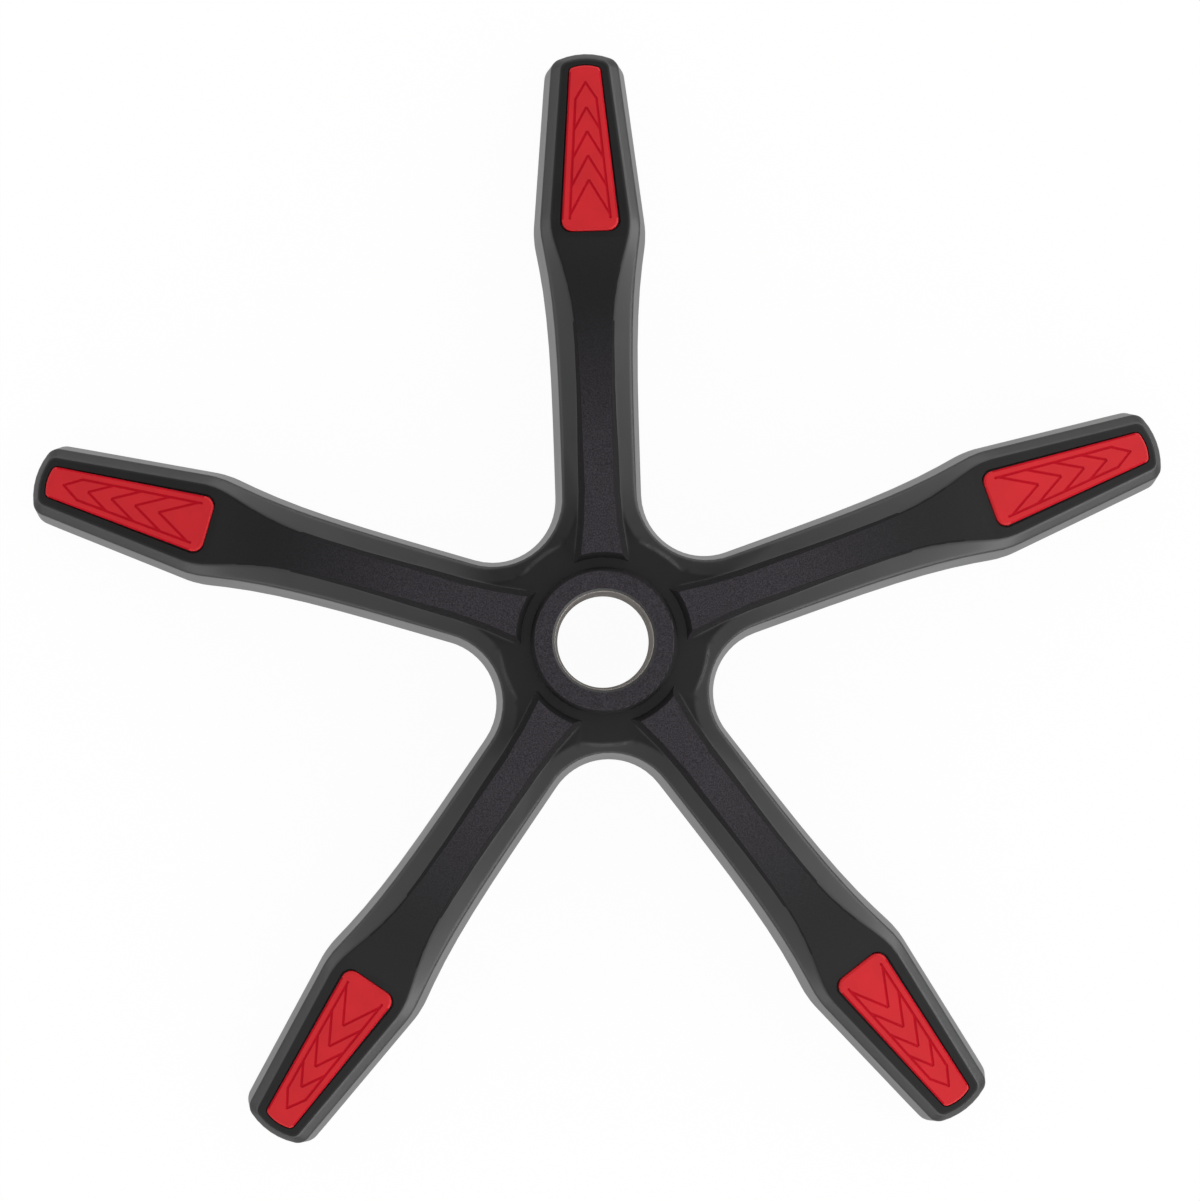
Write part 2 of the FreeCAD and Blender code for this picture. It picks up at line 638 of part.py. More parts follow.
def hub_strip():
    """The raised strip from well inside its inner end to the root plane, sunk a little into the plate."""
    bend, bend_half = size("strip_bend"), size("strip_bend_half_width")
    start = size("strip_end_foot") - SPARE
    widening = (size("strip_end_half_width") - bend_half) / (bend - size("strip_end"))
    start_half = bend_half + widening * (bend - start)
    wall = size("strip_wall_width")
    start_top = top_height(start)
    bend_top = mix(start_top, root_edge[1], (bend - start) / (ROOT - start))
    knee_share = (root_edge[1] - root_knee[1]) / (root_edge[1] - root_foot[1])
    sunk = LAND - 1
    lines = [
        (0.0, start_top, bend_top, root_edge),
        (wall / 2, mix(start_top, LAND, knee_share), mix(bend_top, LAND, knee_share), root_knee),
        (wall, LAND, LAND, root_foot),
        (wall, sunk, sunk, (root_foot[0], sunk)),
    ]
    wires = []
    for out, start_z, bend_z, (root_v, root_z) in lines:
        side = [
            (start, start_half + out, start_z),
            (bend, bend_half + out, bend_z),
            (ROOT, root_v, root_z),
        ]
        corners = [Vector(u, -v, z) for u, v, z in side] + [Vector(u, v, z) for u, v, z in reversed(side)]
        wires.append(Part.makePolygon(corners + corners[:1]))
    return Part.makeLoft(wires, True, True)


def boss_valley():
    """Cone about the hub's axis that ends the strips in arcs round the boss."""
    foot, edge = size("strip_end_foot"), size("strip_end")
    lean = (edge - foot) / (STRIP_TOP - LAND) * SPARE
    low, high = LAND - SPARE, STRIP_TOP + SPARE
    return revolved([(0.0, low), (foot - lean, low), (edge + lean, high), (0.0, high)])


def hub_ribs():
    """Upright ribs from the hub's tube out along the arms and into the corners between them."""
    thick = size("rib_wall")
    low = FEET - SPARE
    ribs = []
    for angle in ARM_ANGLES:
        for turn in (angle, angle + ARM_STEP / 2):
            rib = Part.makeBox(ROOT, thick, BOSS_TOP - low, Vector(0, -thick / 2, low))
            rib.rotate(ORIGIN, UP, turn)
            ribs.append(rib)
    return ribs[0].multiFuse(ribs[1:])


long_strip = feature("long_strip", hub_strip())
strip = cut("strip", long_strip, feature("boss_valley", boss_valley()))
doc.recompute()
strips = []
for number, angle in enumerate(ARM_ANGLES, start=1):
    placed = feature("strip_%d" % number, strip.Shape)
    placed.Placement = turned(angle)
    strips.append(placed)
hub_top = fuse("hub_top", [hub_plate, hub_disc] + strips)
hub_void = cut("hub_void", root_prism("void_prism", tool_low, LAND - size("roof_wall")), inner_corners)
hub_tube = cylinder("hub_tube", "Sizes.hub_tube_radius", "Sizes.overall_height", at(0, 0, FEET))
hub_inside = fuse("hub_inside", [hub_tube, feature("hub_ribs", hub_ribs())])
hub_cells = cut("hub_cells", hub_void, hub_inside)
hub_shell = cut("hub_shell", hub_top, hub_cells)

BOTTOM_FORMULA = "Sizes.lip_height - Sizes.overall_height + Sizes.hub_bottom"
LAND_FORMULA = "Sizes.lip_height - Sizes.boss_rise"
BOSS_FOOT = size("boss_radius") + size("boss_draft")
BOSS_FOOT_FORMULA = "Sizes.boss_radius + Sizes.boss_draft"
hub_core, core_turn = turned_body("hub_core", [
    (0, HUB_BOTTOM, "0", BOTTOM_FORMULA),
    (size("hub_tube_radius"), HUB_BOTTOM, "Sizes.hub_tube_radius", BOTTOM_FORMULA),
    (size("hub_tube_radius"), LAND - 1, "Sizes.hub_tube_radius", LAND_FORMULA + " - 1"),
    (BOSS_FOOT, LAND - 1, BOSS_FOOT_FORMULA, LAND_FORMULA + " - 1"),
    (BOSS_FOOT, LAND, BOSS_FOOT_FORMULA, LAND_FORMULA),
    (size("boss_radius"), BOSS_TOP, "Sizes.boss_radius", "Sizes.lip_height"),
    (0, BOSS_TOP, "0", "Sizes.lip_height"),
])
dressed(hub_core, "PartDesign::Fillet", "boss_edge", core_turn,
        lambda edge: level_at(edge, BOSS_TOP), "Radius", "Sizes.boss_edge_round")

BORE_END = size("sleeve_bore_radius") - size("bore_taper")
LEDGE_RADIUS = BORE_END + size("ledge_clearance")
SEAT_RADIUS = size("sleeve_bore_radius") + size("sleeve_wall") + size("sleeve_clearance")
LIP_RADIUS = size("sleeve_bore_radius") + size("lip_clearance")
LEDGE_FORMULA = "Sizes.sleeve_bore_radius - Sizes.bore_taper + Sizes.ledge_clearance"
SEAT_FORMULA = "Sizes.sleeve_bore_radius + Sizes.sleeve_wall + Sizes.sleeve_clearance"
LIP_FORMULA = "Sizes.sleeve_bore_radius + Sizes.lip_clearance"
hub_bore, bore_turn = turned_body("hub_bore", [
    (0, FEET, "0", "Sizes.lip_height - Sizes.overall_height"),
    (LEDGE_RADIUS, FEET, LEDGE_FORMULA, "Sizes.lip_height - Sizes.overall_height"),
    (LEDGE_RADIUS, SLEEVE_BOTTOM, LEDGE_FORMULA, "-Sizes.sleeve_length"),
    (SEAT_RADIUS, SLEEVE_BOTTOM, SEAT_FORMULA, "-Sizes.sleeve_length"),
    (SEAT_RADIUS, 0, SEAT_FORMULA, "0"),
    (LIP_RADIUS, 0, LIP_FORMULA, "0"),
    (LIP_RADIUS + 2 * size("lip_chamfer"), 2 * BOSS_TOP,
     LIP_FORMULA + " + 2 * Sizes.lip_chamfer", "2 * Sizes.lip_height"),
    (0, 2 * BOSS_TOP, "0", "2 * Sizes.lip_height"),
])
hub_solid = fuse("hub_solid", [hub_shell, hub_core])
hub = cut("hub", hub_solid, hub_bore)

moulding = fuse("moulding", [hub] + arms)
moulding.Refine = True
moulding.Label = "base_moulding"

# Steel sleeve, moulded into the hub, whose bore holds the gas lift
lift_sleeve, sleeve_turn = turned_body("sleeve", [
    (size("sleeve_bore_radius") + size("sleeve_wall"), 0,
     "Sizes.sleeve_bore_radius + Sizes.sleeve_wall", "0"),
    (size("sleeve_bore_radius") + size("sleeve_wall"), SLEEVE_BOTTOM,
     "Sizes.sleeve_bore_radius + Sizes.sleeve_wall", "-Sizes.sleeve_length"),
    (BORE_END, SLEEVE_BOTTOM, "Sizes.sleeve_bore_radius - Sizes.bore_taper", "-Sizes.sleeve_length"),
    (size("sleeve_bore_radius"), -size("gauge_length"), "Sizes.sleeve_bore_radius", "-Sizes.gauge_length"),
    (size("sleeve_bore_radius"), 0, "Sizes.sleeve_bore_radius", "0"),
])
lift_sleeve.Label = "lift_sleeve"


def frame_half_width(x):
    """Half width of the engraved frame's long sides at a distance from the pad's inner end."""
    share = (x - size("frame_foot")) / (size("frame_shoulder") - size("frame_foot"))
    return mix(size("frame_foot_half_width"), size("frame_shoulder_half_width"), share)


def engraving():
    """Tool for the engraved frame and chevrons, in the pad's frame: plates with rounded ends."""
    routes = []
    for side in (1, -1):
        foot_corner = Vector(size("frame_foot"), side * size("frame_foot_half_width"), 0)
        shoulder = Vector(size("frame_shoulder"), side * size("frame_shoulder_half_width"), 0)
        routes.append((foot_corner, shoulder))
        routes.append((shoulder, Vector(size("frame_tip"), 0, 0)))
        narrowing = (frame_half_width(0) - frame_half_width(size("frame_shoulder"))) / size("frame_shoulder")
        widening = math.tan(math.radians(size("chevron_angle")))
        for number in range(int(size("chevron_count"))):
            point = size("chevron_first") + number * size("chevron_pitch")
            back = frame_half_width(point) / (widening - narrowing)
            routes.append((Vector(point, 0, 0), Vector(point - back, side * back * widening, 0)))
    floor = size("pad_thickness") - size("groove_depth")
    tall = size("groove_depth") + SPARE
    half = size("groove_width") / 2
    pieces = []
    for start, end in routes:
        run = end - start
        plate = Part.makeBox(run.Length, 2 * half, tall, Vector(0, -half, floor))
        plate.rotate(ORIGIN, UP, math.degrees(math.atan2(run.y, run.x)))
        plate.translate(start)
        pieces.append(plate)
        for end_point in (start, end):
            pieces.append(Part.makeCylinder(half, tall, end_point + UP * floor))
    return pieces[0].multiFuse(pieces[1:]).removeSplitter()


engraved_lines = feature("engraved_lines", engraving())
PAD_SHOULDER = size("pad_length") - size("pad_end_radius") + math.sqrt(
    size("pad_end_radius") ** 2 - size("pad_outer_half_width") ** 2)
SHOULDER_FORMULA = (
    "Sizes.pad_length - Sizes.pad_end_radius"
    " + sqrt(Sizes.pad_end_radius ^ 2 - Sizes.pad_outer_half_width ^ 2)")


def pad_body(number):
    """One pad: a tapered plate with rounded corners and edge, and two pegs below."""
    body = doc.addObject("PartDesign::Body", "pad_body_%d" % number)
    inner, outer = size("pad_inner_half_width"), size("pad_outer_half_width")
    outline = corner_sketch(body, "pad_outline_%d" % number, "XY_Plane", [
        (0, -inner, "0", "-Sizes.pad_inner_half_width"),
        (PAD_SHOULDER, -outer, SHOULDER_FORMULA, "-Sizes.pad_outer_half_width"),
        (PAD_SHOULDER, outer, SHOULDER_FORMULA, "Sizes.pad_outer_half_width"),
        (0, inner, "0", "Sizes.pad_inner_half_width"),
    ], arc_after=1, arc_radius=(size("pad_end_radius"), "Sizes.pad_end_radius"))
    plate = body.newObject("PartDesign::Pad", "pad_plate_%d" % number)
    plate.Profile = outline
    plate.setExpression("Length", "Sizes.pad_thickness")
    inner_round = dressed(
        body, "PartDesign::Fillet", "inner_corners_%d" % number, plate,
        lambda edge: upright(edge) and edge.BoundBox.XMax < 0.01, "Radius", "Sizes.pad_inner_corner")
    outer_round = dressed(
        body, "PartDesign::Fillet", "outer_corners_%d" % number, inner_round,
        lambda edge: upright(edge) and edge.BoundBox.XMin > PAD_SHOULDER - 0.01,
        "Radius", "Sizes.pad_outer_corner")
    edge_round = dressed(
        body, "PartDesign::Fillet", "edge_round_%d" % number, outer_round,
        lambda edge: level_at(edge, size("pad_thickness")), "Radius", "Sizes.pad_edge_round")
    pegs = new_sketch(body, "peg_circles_%d" % number, "XY_Plane")
    for index, place in enumerate(("inner_peg", "outer_peg")):
        pegs.addGeometry(Part.Circle(Vector(size(place), 0, 0), UP, size("peg_radius")), False)
        pegs.addConstraint(Sketcher.Constraint("PointOnObject", index, 3, -1))
        bind(pegs, Sketcher.Constraint("DistanceX", -1, 1, index, 3, size(place)),
             place, "Sizes." + place)
        bind(pegs, Sketcher.Constraint("Radius", index, size("peg_radius")),
             place + "_radius", "Sizes.peg_radius")
    peg_pad = body.newObject("PartDesign::Pad", "pegs_%d" % number)
    peg_pad.Profile = pegs
    peg_pad.Reversed = True
    peg_pad.setExpression("Length", "Sizes.peg_length")
    dressed(body, "PartDesign::Chamfer", "peg_ends_%d" % number, peg_pad,
            lambda edge: level_at(edge, -size("peg_length")), "Size", "Sizes.peg_chamfer")
    return body


pads = []
for number, angle in enumerate(ARM_ANGLES, start=1):
    pad = cut("engraved_pad_%d" % number, pad_body(number), engraved_lines)
    pad.Placement = turned(angle).multiply(seat_frame)
    pad.Label = "foot_pad_%d" % number
    pads.append(pad)

doc.recompute()
for item in doc.Objects:
    if "Invalid" in item.State or "Error" in item.State:
        raise RuntimeError("%s is %s" % (item.Name, item.State))
nodes = [moulding, lift_sleeve] + pads
for node in nodes:
    if node.Shape.isNull() or not node.Shape.isValid():
        raise RuntimeError("%s has no valid shape" % node.Label)
os.makedirs("parts", exist_ok=True)
for node in nodes:
    node.Shape.exportStep(os.path.join("parts", node.Label + ".step"))
    print(node.Label, len(node.Shape.Solids), "solids", round(node.Shape.Volume), "mm3")
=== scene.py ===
"""Looks of the office chair's five star base: grained moulding, steel sleeve and five red pads."""
import json
import math

import bmesh
import bpy
from mathutils import Matrix, Vector
from mathutils.bvhtree import BVHTree

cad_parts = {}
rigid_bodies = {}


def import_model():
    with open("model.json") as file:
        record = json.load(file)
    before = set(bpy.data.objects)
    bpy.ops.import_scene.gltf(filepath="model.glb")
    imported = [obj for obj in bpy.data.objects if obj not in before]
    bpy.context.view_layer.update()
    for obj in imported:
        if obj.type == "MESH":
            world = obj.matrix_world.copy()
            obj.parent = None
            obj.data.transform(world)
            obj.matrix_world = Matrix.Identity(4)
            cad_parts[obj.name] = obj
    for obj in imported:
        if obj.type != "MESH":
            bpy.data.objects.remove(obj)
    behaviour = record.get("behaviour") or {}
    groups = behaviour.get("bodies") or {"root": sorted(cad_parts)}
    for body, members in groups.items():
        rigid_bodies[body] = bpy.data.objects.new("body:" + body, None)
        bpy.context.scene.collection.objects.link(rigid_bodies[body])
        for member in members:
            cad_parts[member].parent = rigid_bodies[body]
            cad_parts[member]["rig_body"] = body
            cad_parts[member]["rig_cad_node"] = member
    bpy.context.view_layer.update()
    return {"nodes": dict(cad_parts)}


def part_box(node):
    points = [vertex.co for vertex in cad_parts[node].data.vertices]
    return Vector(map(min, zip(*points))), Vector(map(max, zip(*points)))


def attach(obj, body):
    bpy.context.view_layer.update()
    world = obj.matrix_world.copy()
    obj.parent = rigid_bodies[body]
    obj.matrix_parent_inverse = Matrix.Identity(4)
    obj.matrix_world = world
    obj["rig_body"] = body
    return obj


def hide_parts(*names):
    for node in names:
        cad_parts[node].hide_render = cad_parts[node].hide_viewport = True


bl_info = {
    "name": "Five Star Chair Base",
    "version": (1, 0, 0),
    "blender": (4, 5, 0),
    "location": "3D View > Sidebar > Chair Base",
    "description": "Dresses the star base of an office chair and sets its studio",
    "category": "Object",
}

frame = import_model()
MM = 0.001
ARM_COUNT = 5
ARM_STEP = math.radians(360 / ARM_COUNT)
FIRST_ARM = math.radians(90)

# The arm's top: level to the arch, then an arch, then a straight ramp
STRIP_TOP = 0.5 * MM
LAND = -4.4 * MM
ARCH_START = 40 * MM
ARCH_RADIUS = 760 * MM
RAMP_START = 205 * MM
RAMP_FALL = (RAMP_START - ARCH_START) / ARCH_RADIUS
RAMP_ANGLE = math.atan(RAMP_FALL)
STRIP_ROOT = 76 * MM
STRIP_FADE = 165 * MM
STRIP_FADED_DROP = 0.3 * MM
PAD_START = 211 * MM
PAD_RECESS = 1.8 * MM

# The hub's rings
LIP_EDGE = 26.6 * MM
BOSS_FOOT = 37.6 * MM
LAND_RADIUS = 53.2 * MM

# Where the looks change along an arm: the end of the sides with painted shade, and the stretches of
# changing roundings
SHADED_SIDES_END = 195 * MM
SHOULDER_NARROWING = (165 * MM, 215 * MM)
EDGE_FINING = (100 * MM, 165 * MM)

# Angles from the line midway between two arms
CRESCENT_END = math.radians(13)
CORNER_WIDENING = (math.radians(12), math.radians(26))

# Finishes of the moulding's faces, in the order of its material slots
# The lip's and the sides' finishes are painted shade: a shadow ring round the bore and dark walls of the
# boss and strips
SMOOTH, GRAINED, LIP_SHADOW, BORDER, SHADED_SIDES = range(5)

# A pad's corners, by the turn of its outline in degrees, and its pegs' places along it
INNER_TURN, OUTER_TURN = 85, 61
PEG_PLACES = (16 * MM, 58 * MM)


class NylonSettings(bpy.types.PropertyGroup):
    """Sizes and colours of the moulding."""
    colour: bpy.props.FloatVectorProperty(
        name="Nylon", description="Colour of the smooth black nylon", subtype="COLOR",
        size=3, min=0, max=1, default=(0.0068, 0.0066, 0.0068))
    fine_colour: bpy.props.FloatVectorProperty(
        name="Fine grain", description="Colour of the fine grain along the arms", subtype="COLOR",
        size=3, min=0, max=1, default=(0.0100, 0.0096, 0.0102))
    # The coarse grain round the hub is real, but its lighter colour there is partly painted light, falling
    # off along the arms
    grain_and_light_colour: bpy.props.FloatVectorProperty(
        name="Grain", description="Colour of the coarse grain near the hub", subtype="COLOR",
        size=3, min=0, max=1, default=(0.0260, 0.0232, 0.0277))
    hub_colour: bpy.props.FloatVectorProperty(
        name="Hub's land", description="Colour of the finer, duller nylon round the boss", subtype="COLOR",
        size=3, min=0, max=1, default=(0.0122, 0.0117, 0.0122))
    # The sides' colour, with almost no shine, is painted shade for the walls and feet of the boss and
    # strips
    side_shade_colour: bpy.props.FloatVectorProperty(
        name="Sides", description="Colour of the dull sides of the boss and the strips", subtype="COLOR",
        size=3, min=0, max=1, default=(0.0155, 0.0145, 0.0155))
    shoulder_round: bpy.props.FloatProperty(
        name="Shoulder rounding", description="Rounding between flank and side wall along the arm",
        unit="LENGTH", default=0.0018)
    corner_round: bpy.props.FloatProperty(
        name="Corner rounding", description="The same rounding in the corners between the arms",
        unit="LENGTH", default=0.0005)
    tip_round: bpy.props.FloatProperty(
        name="Tip rounding", description="The same rounding beside the pads", unit="LENGTH", default=0.0006)
    crescent_round: bpy.props.FloatProperty(
        name="Crescent rounding", description="Rounding of the hub's land midway between two arms",
        unit="LENGTH", default=0.00045)
    crescent_step: bpy.props.FloatProperty(
        name="Crescent step", description="Small step down at that edge", unit="LENGTH", default=0.0006)
    edge_round: bpy.props.FloatProperty(
        name="Edge rounding", description="Rounding of the raised strips' upper edges near the hub",
        unit="LENGTH", default=0.0005)
    soft_round: bpy.props.FloatProperty(
        name="Soft creases", description="Reach of the softening where land, flanks and walls meet",
        unit="LENGTH", default=0.0022)
    fine_round: bpy.props.FloatProperty(
        name="Fine rounding", description="Rounding of the edges round the pads", unit="LENGTH",
        default=0.00035)
    grain_size: bpy.props.FloatProperty(
        name="Grain size", description="Size of one grain of the textured top", unit="LENGTH",
        default=0.0007)
    # These distances fade both the coarse grain and its painted light
    grain_and_light_fade_start: bpy.props.FloatProperty(
        name="Grain fades from", description="Distance from the hub where the coarse grain begins to fade",
        unit="LENGTH", default=0.080)
    grain_and_light_fade_end: bpy.props.FloatProperty(
        name="Grain fades to", description="Distance from the hub where only the fine grain is left",
        unit="LENGTH", default=0.190)
    grain_end: bpy.props.FloatProperty(
        name="Grain ends at", description="Distance from the hub where the smooth border of the pad begins",
        unit="LENGTH", default=0.2075)


class SleeveSettings(bpy.types.PropertyGroup):
    """Sizes and colour of the steel sleeve."""
    colour: bpy.props.FloatVectorProperty(
        name="Steel", description="Colour of the steel", subtype="COLOR",
        size=3, min=0, max=1, default=(0.31, 0.28, 0.255))
    bore: bpy.props.FloatProperty(
        name="Bore", description="Radius of the bore at its rim", unit="LENGTH", default=0.025)
    bore_end: bpy.props.FloatProperty(
        name="Bore's end", description="Radius of the bore at its lower end", unit="LENGTH", default=0.0238)
    wall: bpy.props.FloatProperty(
        name="Wall", description="Thickness of the sleeve at its rim", unit="LENGTH", default=0.002)
    length: bpy.props.FloatProperty(
        name="Length", description="Height of the sleeve", unit="LENGTH", default=0.055)
    straight: bpy.props.FloatProperty(
        name="Straight stretch", description="Straight top of the bore, above its taper", unit="LENGTH",
        default=0.012)
    rim_round: bpy.props.FloatProperty(
        name="Rim rounding", description="Rounding of the bore's rim", unit="LENGTH", default=0.0003)
    segments: bpy.props.IntProperty(
        name="Segments", description="Facets round the sleeve", default=128, min=16)


class PadSettings(bpy.types.PropertyGroup):
    """Sizes and colour of the foot pads."""
    colour: bpy.props.FloatVectorProperty(
        name="Red", description="Colour of the pads", subtype="COLOR",
        size=3, min=0, max=1, default=(0.495, 0.0115, 0.017))
    # The grooves' darker red is painted shade on the same red plastic
    groove_shade_colour: bpy.props.FloatVectorProperty(
        name="Groove red", description="Colour of the grooves, which light hardly enters", subtype="COLOR",
        size=3, min=0, max=1, default=(0.40, 0.003, 0.011))
    length: bpy.props.FloatProperty(
        name="Length", description="Length of a pad along its arm", unit="LENGTH", default=0.0904)
    inner_half: bpy.props.FloatProperty(
        name="Inner half width", description="Half width of a pad at its inner end", unit="LENGTH",
        default=0.0150)
    outer_half: bpy.props.FloatProperty(
        name="Outer half width", description="Half width of a pad at its outer end", unit="LENGTH",
        default=0.008)
    end_radius: bpy.props.FloatProperty(
        name="End radius", description="Radius of a pad's bulging outer end", unit="LENGTH", default=0.020)
    inner_corner: bpy.props.FloatProperty(
        name="Inner corner", description="Corner radius at a pad's inner end", unit="LENGTH",
        default=0.0068)
    outer_corner: bpy.props.FloatProperty(
        name="Outer corner", description="Corner radius at a pad's outer end", unit="LENGTH",
        default=0.003)
    thickness: bpy.props.FloatProperty(
        name="Thickness", description="Thickness of a pad", unit="LENGTH", default=0.003)
    edge_round: bpy.props.FloatProperty(
        name="Edge rounding", description="Rounding of a pad's upper edge", unit="LENGTH", default=0.0013)
    groove_radius: bpy.props.FloatProperty(
        name="Groove radius", description="Radius of the round grooves", unit="LENGTH", default=0.00095)
    groove_depth: bpy.props.FloatProperty(
        name="Groove depth", description="Depth of the round grooves", unit="LENGTH", default=0.00036)
    peg_radius: bpy.props.FloatProperty(
        name="Peg radius", description="Radius of the pegs below a pad", unit="LENGTH", default=0.0025)
    peg_length: bpy.props.FloatProperty(
        name="Peg length", description="Length of the pegs below a pad", unit="LENGTH", default=0.007)


class StageSettings(bpy.types.PropertyGroup):
    """Floor, light and camera."""
    floor_size: bpy.props.FloatProperty(
        name="Floor", description="Width of the pale floor", unit="LENGTH", default=8.0)
    floor_white: bpy.props.FloatProperty(
        name="Floor white", description="Share of plain white in the floor as it is seen", min=0, max=1,
        subtype="FACTOR", default=0.96)
    floor_grey: bpy.props.FloatProperty(
        name="Floor grey", description="Brightness of the floor in glossy reflections", min=0, max=1,
        subtype="FACTOR", default=0.66)
    dome_strength: bpy.props.FloatProperty(
        name="Dome", description="Brightness of the dome near the horizon", min=0, default=4.5)
    dome_lean: bpy.props.FloatProperty(
        name="Dome's lean", description="How much brighter the dome is on its bright side", min=0, max=1,
        default=0.42)
    lens: bpy.props.FloatProperty(
        name="Lens", description="Focal length of the camera in millimetres", default=118.70)
    camera_distance: bpy.props.FloatProperty(
        name="Camera distance", description="Depth of the hub's top below the camera", unit="LENGTH",
        default=2.010)


def deselect_all():
    if bpy.context.object and bpy.context.object.mode != "OBJECT":
        bpy.ops.object.mode_set(mode="OBJECT")
    bpy.ops.object.select_all(action="DESELECT")


def make_active(piece):
    deselect_all()
    piece.select_set(True)
    bpy.context.view_layer.objects.active = piece


def mix(low, high, share):
    return low + (high - low) * share


def share_between(value, low, high):
    return min(max((value - low) / (high - low), 0.0), 1.0)


def arched(u):
    """How much of the arch lies nearer to the hub than a distance from its axis."""
    return min(max(u, ARCH_START), RAMP_START) - ARCH_START


def top_height(u):
    """Height of an arm's top at a distance from the hub's axis."""
    return STRIP_TOP - arched(u) ** 2 / (2 * ARCH_RADIUS) - max(u - RAMP_START, 0.0) * RAMP_FALL


def foot_height(u):
    """Height of the raised strip's foot, where the flank begins."""
    if u < STRIP_ROOT:
        return LAND
    drop = mix(top_height(STRIP_ROOT) - LAND, STRIP_FADED_DROP, share_between(u, STRIP_ROOT, STRIP_FADE))
    return top_height(u) - drop


def arm_angle(point):
    """Direction of the arm nearest to a point."""
    return round((math.atan2(point.y, point.x) - FIRST_ARM) / ARM_STEP) * ARM_STEP + FIRST_ARM


def in_arm(vector, angle):
    """A vector in an arm's own frame: along it, across it and up."""
    along = vector.x * math.cos(angle) + vector.y * math.sin(angle)
    across = -vector.x * math.sin(angle) + vector.y * math.cos(angle)
    return Vector((along, across, vector.z))


def off_middle(local):
    """Angle between a point of an arm's frame and the line midway between two arms."""
    return ARM_STEP / 2 - abs(math.atan2(local.y, local.x))


def crescent_fading(local):
    """0 midway between two arms and 1 where the land's crescent has died out."""
    return share_between(off_middle(local), 0, CRESCENT_END)


def copy_of_node(name, new_name):
    """A copy of a CAD node with its doubles merged, ready to be shaped."""
    make_active(frame["nodes"][name])
    bpy.ops.object.duplicate()
    piece = bpy.context.object
    piece.name = new_name
    piece.data.name = new_name
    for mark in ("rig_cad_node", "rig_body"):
        del piece[mark]
    bpy.ops.object.mode_set(mode="EDIT")
    bpy.ops.mesh.select_all(action="SELECT")
    bpy.ops.mesh.customdata_custom_splitnormals_clear()
    bpy.ops.mesh.remove_doubles(threshold=0.00001)
    bpy.ops.mesh.mark_sharp(clear=True)
    bpy.ops.mesh.faces_shade_smooth()
    bpy.ops.mesh.select_mode(type="FACE")
    bpy.ops.mesh.select_all(action="DESELECT")
    mesh = bmesh.from_edit_mesh(piece.data)
    for face in mesh.faces:
        face.select_set(abs(face.calc_center_median().z - LAND) > 0.02 * MM)
    bmesh.update_edit_mesh(piece.data)
    bpy.ops.mesh.dissolve_limited(angle_limit=math.radians(0.15))
    bpy.ops.mesh.select_all(action="DESELECT")
    bpy.ops.object.mode_set(mode="OBJECT")
    return piece


def apply_modifier(piece, kind, **values):
    """Adds a modifier with its settings and applies it."""
    make_active(piece)
    bpy.ops.object.modifier_add(type=kind)
    made = piece.modifiers[-1]
    for name, value in values.items():
        setattr(made, name, value)
    bpy.ops.object.modifier_apply(modifier=made.name)


def shade(piece, angle):
    """Smooth shading with sharp edges above an angle, and flat faces that stay flat."""
    make_active(piece)
    bpy.ops.object.shade_smooth_by_angle(angle=math.radians(angle))
    apply_modifier(piece, "WEIGHTED_NORMAL", keep_sharp=True, weight=50)


def new_material(name, colour, roughness, metallic=0.0, ior=1.5, specular=0.5):
    """A material with its shader's constant values on the shader's own sockets."""
    material = bpy.data.materials.new(name)
    material.use_nodes = True
    shader = material.node_tree.nodes["Principled BSDF"]
    shader.inputs["Base Color"].default_value = (*colour, 1)
    shader.inputs["Roughness"].default_value = roughness
    shader.inputs["Metallic"].default_value = metallic
    shader.inputs["IOR"].default_value = ior
    shader.inputs["Specular IOR Level"].default_value = specular
    return material, material.node_tree, shader


def node(tree, kind, **values):
    """A shader node with its settings and input values."""
    made = tree.nodes.new(kind)
    for name, value in values.items():
        if name in made.inputs:
            made.inputs[name].default_value = value
        else:
            setattr(made, name, value)
    return made


def ramp(tree, source, stops):
    """A colour ramp over (place, colour) stops, fed by a socket."""
    made = tree.nodes.new("ShaderNodeValToRGB")
    elements = made.color_ramp.elements
    while len(elements) < len(stops):
        elements.new(0.5)
    for element, (place, colour) in zip(elements, stops):
        element.position = place
        element.color = (*colour, 1)
    tree.links.new(source, made.inputs["Fac"])
    return made


def tinted(colour, factor):
    return tuple(min(factor * channel, 1.0) for channel in colour)


def noise(tree, coordinates, size, detail=2.0, roughness=0.5):
    """Noise whose features are about the given size, in metres."""
    made = node(tree, "ShaderNodeTexNoise", Scale=1 / size, Detail=detail, Roughness=roughness)
    tree.links.new(coordinates, made.inputs["Vector"])
    return made.outputs["Fac"]


def object_coordinates(tree):
    return tree.nodes.new("ShaderNodeTexCoord").outputs["Object"]


def maths(tree, operation, first, second=None):
    """A Math node whose inputs are sockets or numbers."""
    made = node(tree, "ShaderNodeMath", operation=operation)
    for index, value in enumerate((first, second)):
        if value is None:
            continue
        if isinstance(value, (int, float)):
            made.inputs[index].default_value = value
        else:
            tree.links.new(value, made.inputs[index])
    return made.outputs[0]


def mixed(tree, kind, share, first, second):
    """A Mix node's result: the first colour or vector at a share of 0 and the second at 1."""
    made = node(tree, "ShaderNodeMix", data_type=kind)
    # The node holds the sockets of all its kinds, in the order float, vector, colour
    order = {"VECTOR": 1, "RGBA": 2}[kind]
    tree.links.new(share, made.inputs["Factor"])
    for socket, value in zip(made.inputs[2 + 2 * order:4 + 2 * order], (first, second)):
        if isinstance(value, tuple):
            socket.default_value = value
        else:
            tree.links.new(value, socket)
    return made.outputs[order]


